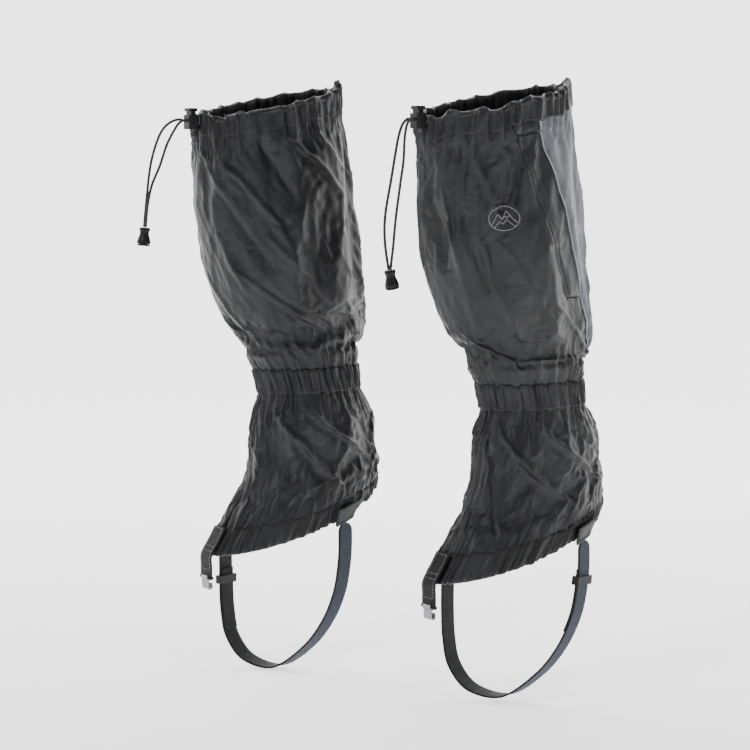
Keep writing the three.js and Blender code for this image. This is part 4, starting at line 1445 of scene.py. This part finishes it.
@dataclass
class Webbing:
    """One gaiter's instep strap with its tail, its sewn tabs and its toe tab."""

    cloths: Cloths
    finishes: Finishes
    outer_angle: float
    inner_angle: float
    width: float = 18
    thickness: float = 1.8
    drop: float = 122
    tail: tuple[float, float, float] = (26, 62, 1.3)
    tab_face: float = 4.0
    tab_thickness: float = 1.4
    tab: tuple[float, float] = (397, 417)
    tab_half: float = 11.1
    tab_narrowing: float = 3.95
    shape: tuple[tuple[float, float], ...] = (
        (0, 0.12), (0.01, 0.26), (0.05, 0.48), (0.15, 0.7), (0.31, 0.88), (0.57, 1), (0.82, 0.89),
        (0.95, 0.69), (0.99, 0.48), (1, 0.26), (1, 0.12),
    )

    @property
    def place(self) -> Placement:
        """Where the gaiter stands."""
        return self.cloths.place

    def pivot(self, angle: float) -> np.ndarray:
        """The point that a strap's end turns about, in the world."""
        depth = -self.tab_face + self.tab_thickness / 2
        point = self.place.leg(np.array(self.tab[1]), np.array(angle), depth).copy()
        point[2] -= (0.8 + self.width / 2) * MM
        return point

    def line(self, count: int) -> np.ndarray:
        """The strap's middle line, from its outer end to its inner end."""
        outer, inner = self.pivot(self.outer_angle), self.pivot(self.inner_angle)
        hanging = []
        for across, drop in self.shape:
            share = across if self.place.side is Side.LEFT else 1 - across
            point = outer + (inner - outer) * share
            point[2] -= drop * self.drop * MM
            hanging.append(point)
        if self.place.side is Side.RIGHT:
            hanging.reverse()
        rise = np.array([0, 0, self.width / 2 * MM])
        return catmull(np.array([outer + rise, outer, *hanging, inner, inner + rise]), count)

    def edge_on(self, angle: float, sign: int) -> np.ndarray:
        """The level direction along the hem at an angle."""
        low, high = (self.place.leg(np.array(SHAPE.hem), np.array(angle + s)) for s in (-sign, sign))
        return unit((high - low) * (1, 1, 0))

    def frames(self, line: np.ndarray) -> tuple[np.ndarray, np.ndarray, np.ndarray]:
        """The directions along, across and out of the strap at each point of its line."""
        along = unit(np.gradient(line, axis=0))
        share = np.linspace(0, 1, len(line))[:, None]
        across = self.edge_on(self.outer_angle, 1) * (1 - share) + self.edge_on(self.inner_angle, -1) * share
        across = unit(across - along * (across * along).sum(1, keepdims=True))
        return along, across, np.cross(along, across)

    def strap(self) -> None:
        """Makes the strap and its doubled tail."""
        line = self.line(420)
        length = line_length(line) / MM
        along, across, out = self.frames(line)
        at = np.linspace(0, length, len(line))
        radius = self.width / 2
        near = np.minimum(np.minimum(at, length - at), radius)
        widths = 2 * np.sqrt(np.maximum(radius**2 - (radius - near) ** 2, 0.01)) * MM
        facing = 1 if self.place.side is Side.RIGHT else -1
        side = self.place.side
        strap = Ribbon(
            side.node("instep_strap"), line, across, out, widths, self.thickness * MM,
            self.finishes.webbing, -facing,
        ).make()
        start, tail_length, thin = self.tail
        part = (at >= start) & (at <= start + tail_length)
        shift = facing * (self.thickness / 2 + 0.3 + thin / 2) * MM
        tail = Ribbon(
            side.node("strap_tail"), line[part] + out[part] * shift, across[part], out[part],
            np.full(part.sum(), (self.width - 1) * MM), thin * MM, self.finishes.webbing, -facing,
        ).make()
        for piece, name in ((strap, "instep_strap"), (tail, "strap_tail")):
            give(piece, side, name, side.node("instep_strap"))

    def half_tab(self, down: np.ndarray) -> np.ndarray:
        """Half of a tab's width, in degrees, which narrows from its top to its bottom."""
        top, bottom = self.tab
        return self.tab_half - self.tab_narrowing * (down - top) / (bottom - top)

    def tabs(self) -> None:
        """Makes the two sewn tabs that the strap hangs from."""
        side = self.place.side
        smooth = self.cloths.skin.at
        stitches = Stitching(side.node("tab_stitching"), self.finishes.thread)
        for name, angle in (("outer_strap_tab", self.outer_angle), ("inner_strap_tab", self.inner_angle)):
            half = self.half_tab
            start, end = about(angle, half, -1), about(angle, half, 1)
            piece = self.cloths.panel(
                name, self.tab, start, end, 4.0, self.finishes.binding, 1.2, self.tab_thickness, smooth
            ).make()
            give(piece, side, name)
            share = np.linspace(0, 1, 60)
            low, high = self.tab[0] + 1.8, self.tab[1] - 2
            for down in (low, high):
                downs = np.full_like(share, down)
                inset = half(downs) - 1.6
                stitches.line(smooth(downs, angle + inset * (2 * share - 1), 4.85))
            for sign in (-1, 1):
                downs = low + (high - low) * share
                stitches.line(smooth(downs, angle + sign * (half(downs) - 1.6), 4.85))
        give(stitches.make(), side)

    def toe_tab(self) -> None:
        """Makes the toe tab with its bright stitching."""
        side = self.place.side
        upper = self.place.leg(np.array(392.0), np.array(0.0), -2.6)
        hem = self.place.leg(np.array(SHAPE.hem), np.array(0.0), -3.2)
        foot = hem - np.array([0, 0, 21 * MM])
        turn = math.radians(self.place.toe_out)
        cos, sin = math.cos(turn), math.sin(turn)
        ahead, sideways = np.array([-cos, -sin, 0.0]), np.array([-sin, cos, 0.0])
        middle = ahead * 0.8 * MM
        line = catmull(np.array([upper, (upper + hem) / 2, hem, (hem + foot) / 2, foot]) + middle, 60)
        along = unit(np.gradient(line, axis=0))
        across = np.tile(sideways, (60, 1))
        out = np.cross(along, across)
        out *= np.sign((out @ ahead))[:, None]
        tab = Ribbon(
            side.node("toe_tab"), line, across, out, np.full(60, 20 * MM), 1.6 * MM, self.finishes.webbing, 0
        ).make()
        bead = np.linspace(-10, 10, 12)[:, None] * sideways * MM + foot + ahead * 0.8 * MM
        roll = Tube(side.node("toe_tab_fold"), bead, 3.4 * MM, self.finishes.webbing, 20).make()
        stitches = Stitching(side.node("toe_tab_stitching"), self.finishes.pale, 3.0 * MM, 2.2 * MM)
        reach, lift = 7.4 * MM, 0.85 * MM
        for index in (2, 24, 30, 50):
            row = line[index] + out[index] * lift + np.linspace(-1, 1, 20)[:, None] * sideways * reach
            stitches.line(row)
        for sign in (-1, 1):
            stitches.line((line + out * lift + sideways * sign * reach)[2:50])
        give(tab, side, "toe_tab")
        give(roll, side)
        give(stitches.make(), side)

    def make(self) -> None:
        """Makes every webbing piece."""
        self.strap()
        self.tabs()
        self.toe_tab()


STRANDS: dict[Side, dict[str, tuple[tuple[float, float], ...]]] = {
    Side.RIGHT: {
        "upper": (
            (-139, 250.6), (-145, 250), (-151, 247.6), (-157, 243), (-162, 236), (-166, 227),
            (-169.5, 217), (-172, 207), (-174, 195), (-175.5, 183), (-177, 171), (-178.2, 160), (-179, 152),
        ),
        "lower": (
            (-139, 249.6), (-143.5, 246.5), (-148, 240.5), (-152.5, 233.5), (-156.5, 226), (-160, 217),
            (-163.5, 208), (-168, 199), (-172, 190.5), (-174.8, 181), (-176.8, 171), (-178.2, 160),
            (-179, 152),
        ),
    },
    Side.LEFT: {
        "upper": (
            (-139, 249.8), (-143.5, 246.5), (-147, 240), (-149.5, 232), (-151.5, 223), (-153.5, 213),
            (-155.5, 203), (-158, 191), (-160.5, 180), (-162.5, 169), (-163.6, 157), (-163.2, 145),
            (-161.5, 132), (-159.2, 120),
        ),
        "lower": (
            (-138.5, 249.4), (-141.5, 245.5), (-143.6, 238), (-144.6, 229), (-145, 220), (-146, 210),
            (-148, 199), (-150, 187), (-152, 175), (-153.8, 163), (-155.2, 151), (-156.4, 140),
            (-157.8, 130), (-159.2, 120),
        ),
    },
}


@dataclass
class Drawcord:
    """One gaiter's drawcord: round the rim in its casing, then two strands down to a cord end."""

    place: Placement
    cloths: Cloths
    finishes: Finishes
    diameter: float = 2.5
    down: float = 4.3
    apart: float = 1.4
    turn_angle: float = 12
    mouth: tuple[float, float] = (-120.4, 249.7)

    def make(self) -> None:
        """Makes the cord, its strands, the eyelet and the cord end."""
        side = self.place.side
        angles = np.linspace(self.turn_angle, 360 - self.turn_angle, 420)
        ring = self.place.leg(np.full(420, self.down), angles)
        lift = RIMS[side].lift(angles) * np.clip(1 - self.down / 60, 0, 1.2) ** 2 * MM
        ring[:, 2] += lift
        inside = Tube(side.node("drawcord_in_casing"), ring, self.diameter * MM, self.finishes.cord).make()
        give(inside, side, "drawcord_in_casing")
        ends = self.cord_end()
        for name, sign in (("upper", 1), ("lower", -1)):
            line = self.strand(STRANDS[side][name], sign)
            node = f"drawcord_{name}_strand"
            strand = Tube(side.node(node), line, self.diameter * MM, self.finishes.cord).make()
            give(strand, side, node)
        self.eyelet()

    def strand(self, route: Sequence[tuple[float, float]], sign: int) -> np.ndarray:
        """One strand's line, from inside the casing to the cord end.

        Args:
            route: its hanging part, as x and z in the gaiter's own frame.
            sign: +1 for the strand on the +Y side.

        Returns:
            The points along it, in the world.
        """
        front = self.place.leg(np.array(self.down), np.array(0.0))
        beside = self.place.leg(np.array(self.down), np.array(15.0 * sign * self.place.sign))
        points = [front + (beside - front) * angle / 15 for angle in (self.turn_angle, 8)]
        for x, y in ((0.7, 4.2), (-1.3, 2.2), (-3.2, self.apart), (-9, self.apart), (-16, self.apart)):
            points.append(self.place.world(self.mouth[0] + x, sign * y, self.mouth[1]))
        for x, z in route:
            points.append(self.place.world(x, sign * self.apart, z))
        return catmull(np.array(points), 190)

    def cord_end(self) -> list[bpy.types.Object]:
        """Makes the bell and its cap under the strands.

        Returns:
            The two pieces.
        """
        side = self.place.side
        last, before = STRANDS[side]["upper"][-1], STRANDS[side]["upper"][-2]
        foot = self.place.world(last[0], 0.0, last[1])
        above = self.place.world(before[0], 0.0, before[1])
        up = unit(above - foot)
        top = foot - up * 0.4 * MM
        bell = [
            (0, -2.4), (3.1, -3), (5.0, -15), (5.6, -15.1), (6.2, -14.7), (6.2, -12.6), (6.0, -11.8),
            (5.2, -9.2), (5.0, -8.5), (4.3, -6.4), (4.3, -3.6), (4.5, -3.3), (5.0, -2.7), (5.0, -0.9),
            (4.7, -0.2), (4.2, 0), (0, 0),
        ]
        cap = [
            (0, -13.9), (3.8, -13.9), (4.2, -15.3), (6.2, -15.3), (6.2, -16.0), (5.7, -16.6), (5.0, -17),
            (0, -17),
        ]
        pieces = []
        for name, profile in (("cord_end_bell", bell), ("cord_end_cap", cap)):
            piece = Lathe(side.node(name), profile, top, up, self.finishes.plastic).make()
            pieces.append(give(piece, side, name))
        return pieces

    def eyelet(self) -> None:
        """Makes the rolled steel eyelet where the strands leave the casing."""
        side = self.place.side
        out = self.place.leg(np.array(self.down), np.array(0.0), -(1.25 + 0.3 + 0.4))
        ahead = unit(self.place.leg(np.array(self.down), np.array(0.0), -10.0) - out)
        profile = [
            (4.4, -0.4), (5.0, -0.4), (5.0, 0.7), (6.2, 0.7), (6.4, 0.85), (6.3, 1.1), (5.9, 1.28),
            (5.3, 1.35), (4.8, 1.25), (4.5, 1.0), (4.4, 0.7), (4.4, -0.4),
        ]
        piece = Lathe(side.node("drawcord_eyelet"), profile, out, ahead, self.finishes.steel, 56).make()
        give(piece, side, "drawcord_eyelet")


@dataclass
class Emblem:
    """A small woven badge of a plain mountain ridge inside an oval line, on the outer side.

    Its sizes are in millimetres, its angle in degrees, and degree is a degree's width there.
    """

    cloths: Cloths
    finishes: Finishes
    down: float = 82
    angle: float = 62
    width: float = 27
    height: float = 24
    degree: float = 1.12

    def make(self) -> None:
        """Makes the badge's base and its embroidered lines."""
        side = self.cloths.side
        start, end = about(self.angle, self.edge, -1), about(self.angle, self.edge, 1)
        base = self.cloths.panel(
            "emblem", (self.down, self.down + self.height), start, end, 0.85, self.finishes.shell, 0.9, 0.4
        ).make()
        give(base, side, "emblem")
        turn = np.linspace(0, TURN, 90)
        oval = np.stack([0.86 * np.cos(turn), 0.84 * np.sin(turn)], axis=1)
        ridge = np.array([(-0.72, 0.36), (-0.3, -0.3), (-0.1, 0.02), (0.22, -0.5), (0.5, 0.06), (0.74, 0.36)])
        snow = np.array([(-0.02, -0.08), (0.12, -0.16), (0.22, -0.02), (0.36, -0.2)])
        thread = Stitching(side.node("emblem_thread"), self.finishes.pale, 1.0 * MM, 0.95 * MM, 0.75 * MM)
        for line in (oval, ridge, ridge * (0.8, 0.6) + (0, 0.38), snow):
            steps = np.linspace(0, 1, 160)
            places = np.linspace(0, 1, len(line))
            x, y = (np.interp(steps, places, line[:, a]) for a in (0, 1))
            down = self.down + self.height * (0.5 + 0.5 * y)
            thread.line(self.cloths.on(down, self.angle + x * self.width / 2 / self.degree, 1.25))
        give(thread.make(), side)

    def edge(self, down: np.ndarray) -> np.ndarray:
        """Half the badge's width at a distance from the rim, in degrees, for its rounded outline."""
        share = np.clip(2 * (down - self.down) / self.height - 1, -1, 1)
        return self.width / 2 * (1 - np.abs(share) ** 3.2 * 0.45) / self.degree


@dataclass
class Hardware:
    """The moulded and pressed parts, which keep the model's own shape with softened edges."""

    side: Side
    finishes: Finishes

    def make(self) -> None:
        """Gives each part its finish, rounded edges and smooth shading."""
        parts = {
            "cord_lock_body": self.finishes.plastic,
            "cord_lock_plunger": self.finishes.plastic,
            "cord_lock_spring": self.finishes.steel,
            "strap_slider": self.finishes.plastic,
            "lace_hook": self.finishes.steel,
        }
        for name, finish in parts.items():
            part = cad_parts[self.side.node(name)]
            part.data.materials.clear()
            part.data.materials.append(finish)
            if name == "cord_lock_spring":
                continue
            soften(part, 0.3 * MM, 3, 30).harden_normals = True


# ---------------------------------------------------------------- studio and the whole scene


@dataclass
class Studio:
    """A pale sweep, three large soft lights and the camera, in metres and millimetres of focal length."""

    floor: float = -0.2815
    radius: float = 1.2
    back: float = 1.6
    front: float = 14.0
    wall: float = 8.0
    width: float = 40.0
    lens: float = 110.3
    eye: tuple[float, float, float] = (-0.039, -2.149, 0.230)
    target: tuple[float, float, float] = (-0.039, 0.0, 0.012)

    def camera(self) -> None:
        """Sets the camera."""
        data = bpy.data.cameras.new("camera")
        data.lens, data.sensor_width = self.lens, 36
        data.clip_start, data.clip_end = 0.05, 40
        camera = bpy.data.objects.new("camera", data)
        camera.location = self.eye
        look = Vector(self.target) - Vector(self.eye)
        camera.rotation_euler = look.to_track_quat("-Z", "Y").to_euler()
        bpy.context.scene.collection.objects.link(camera)
        bpy.context.scene.camera = camera

    def light(self, name: str, at: Sequence[float], size: float, power: float) -> None:
        """Adds one soft square light that faces the pair.

        Args:
            name: the light's name.
            at: where it stands.
            size: its side, in metres.
            power: its power in watts.
        """
        data = bpy.data.lights.new(name, "AREA")
        data.shape, data.size, data.energy = "SQUARE", size, power
        lamp = bpy.data.objects.new(name, data)
        lamp.location = at
        look = Vector((0, 0, 0.02)) - Vector(at)
        lamp.rotation_euler = look.to_track_quat("-Z", "Y").to_euler()
        bpy.context.scene.collection.objects.link(lamp)

    def sweep(self) -> None:
        """Makes the pale floor, which curves up behind into a wall."""
        bm = bmesh.new()
        grid = bmesh.ops.create_grid(bm, x_segments=4, y_segments=60, size=0.5)
        flat, curved = 0.4, 0.7
        for vert in grid["verts"]:
            share = vert.co.y + 0.5
            if share < flat:
                y, z = -self.front + (self.front + self.back) * share / flat, 0.0
            elif share < curved:
                turn = (share - flat) / 0.3 * math.pi / 2
                y, z = self.back + self.radius * math.sin(turn), self.radius * (1 - math.cos(turn))
            else:
                y, z = self.back + self.radius, self.radius + (share - curved) / 0.3 * self.wall
            vert.co = (vert.co.x * self.width, y, self.floor + z)
        nodes = Nodes("pale_floor")
        nodes.set(Base_Color=(0.86, 0.86, 0.86, 1), Roughness=0.9)
        depth = nodes.add("SeparateXYZ", {"Vector": nodes.add("TexCoord").outputs["Object"]}).outputs["Y"]
        span = {"From Min": -0.4, "From Max": 1.2, "To Min": 0.9, "To Max": 2.4}
        glow = nodes.add("MapRange", {"Value": depth, **span})
        nodes.set(Emission_Color=(1, 1, 1, 1), Emission_Strength=glow.outputs["Result"])
        new_object("floor", bm, nodes.material)

    def make(self) -> None:
        """Sets the stage."""
        self.sweep()
        self.light("key", (-1.2, -1.5, 1.3), 0.5, 26)
        self.light("fill", (1.3, -1.5, 0.5), 0.4, 7)
        self.light("top", (0.3, -0.3, 1.8), 0.6, 10)
        world = bpy.data.worlds.new("studio")
        world.use_nodes = True
        sky = world.node_tree.nodes["Background"].inputs
        sky["Color"].default_value, sky["Strength"].default_value = (1, 1, 1, 1), 0.06
        bpy.context.scene.world = world


@dataclass
class Gaiter:
    """One whole gaiter."""

    place: Placement
    finishes: Finishes
    seed: int
    strap_angles: tuple[float, float]

    def make(self) -> None:
        """Makes every piece of the gaiter."""
        skin = Skin(self.place, self.seed)
        fabric = Fabric(self.place, skin, self.finishes)
        Drawcord(self.place, fabric, self.finishes).make()
        fabric.panels()
        fabric.bands()
        fabric.stitches()
        Webbing(fabric, self.finishes, *self.strap_angles).make()
        Emblem(fabric, self.finishes).make()
        Hardware(self.place.side, self.finishes).make()
        LOG.info("made the %s gaiter", self.place.side.value)


def main() -> None:
    """Builds the studio and both gaiters."""
    logging.basicConfig(level=logging.INFO, format="%(message)s")
    studio = Studio()
    studio.camera()
    finishes = Finishes()
    Gaiter(Placement(Side.RIGHT, (-104, 70)), finishes, 5, (58, 249.6)).make()
    Gaiter(Placement(Side.LEFT, (104, -70)), finishes, 11, (120.7, 297.5)).make()
    studio.make()


if __name__ == "__main__":
    main()
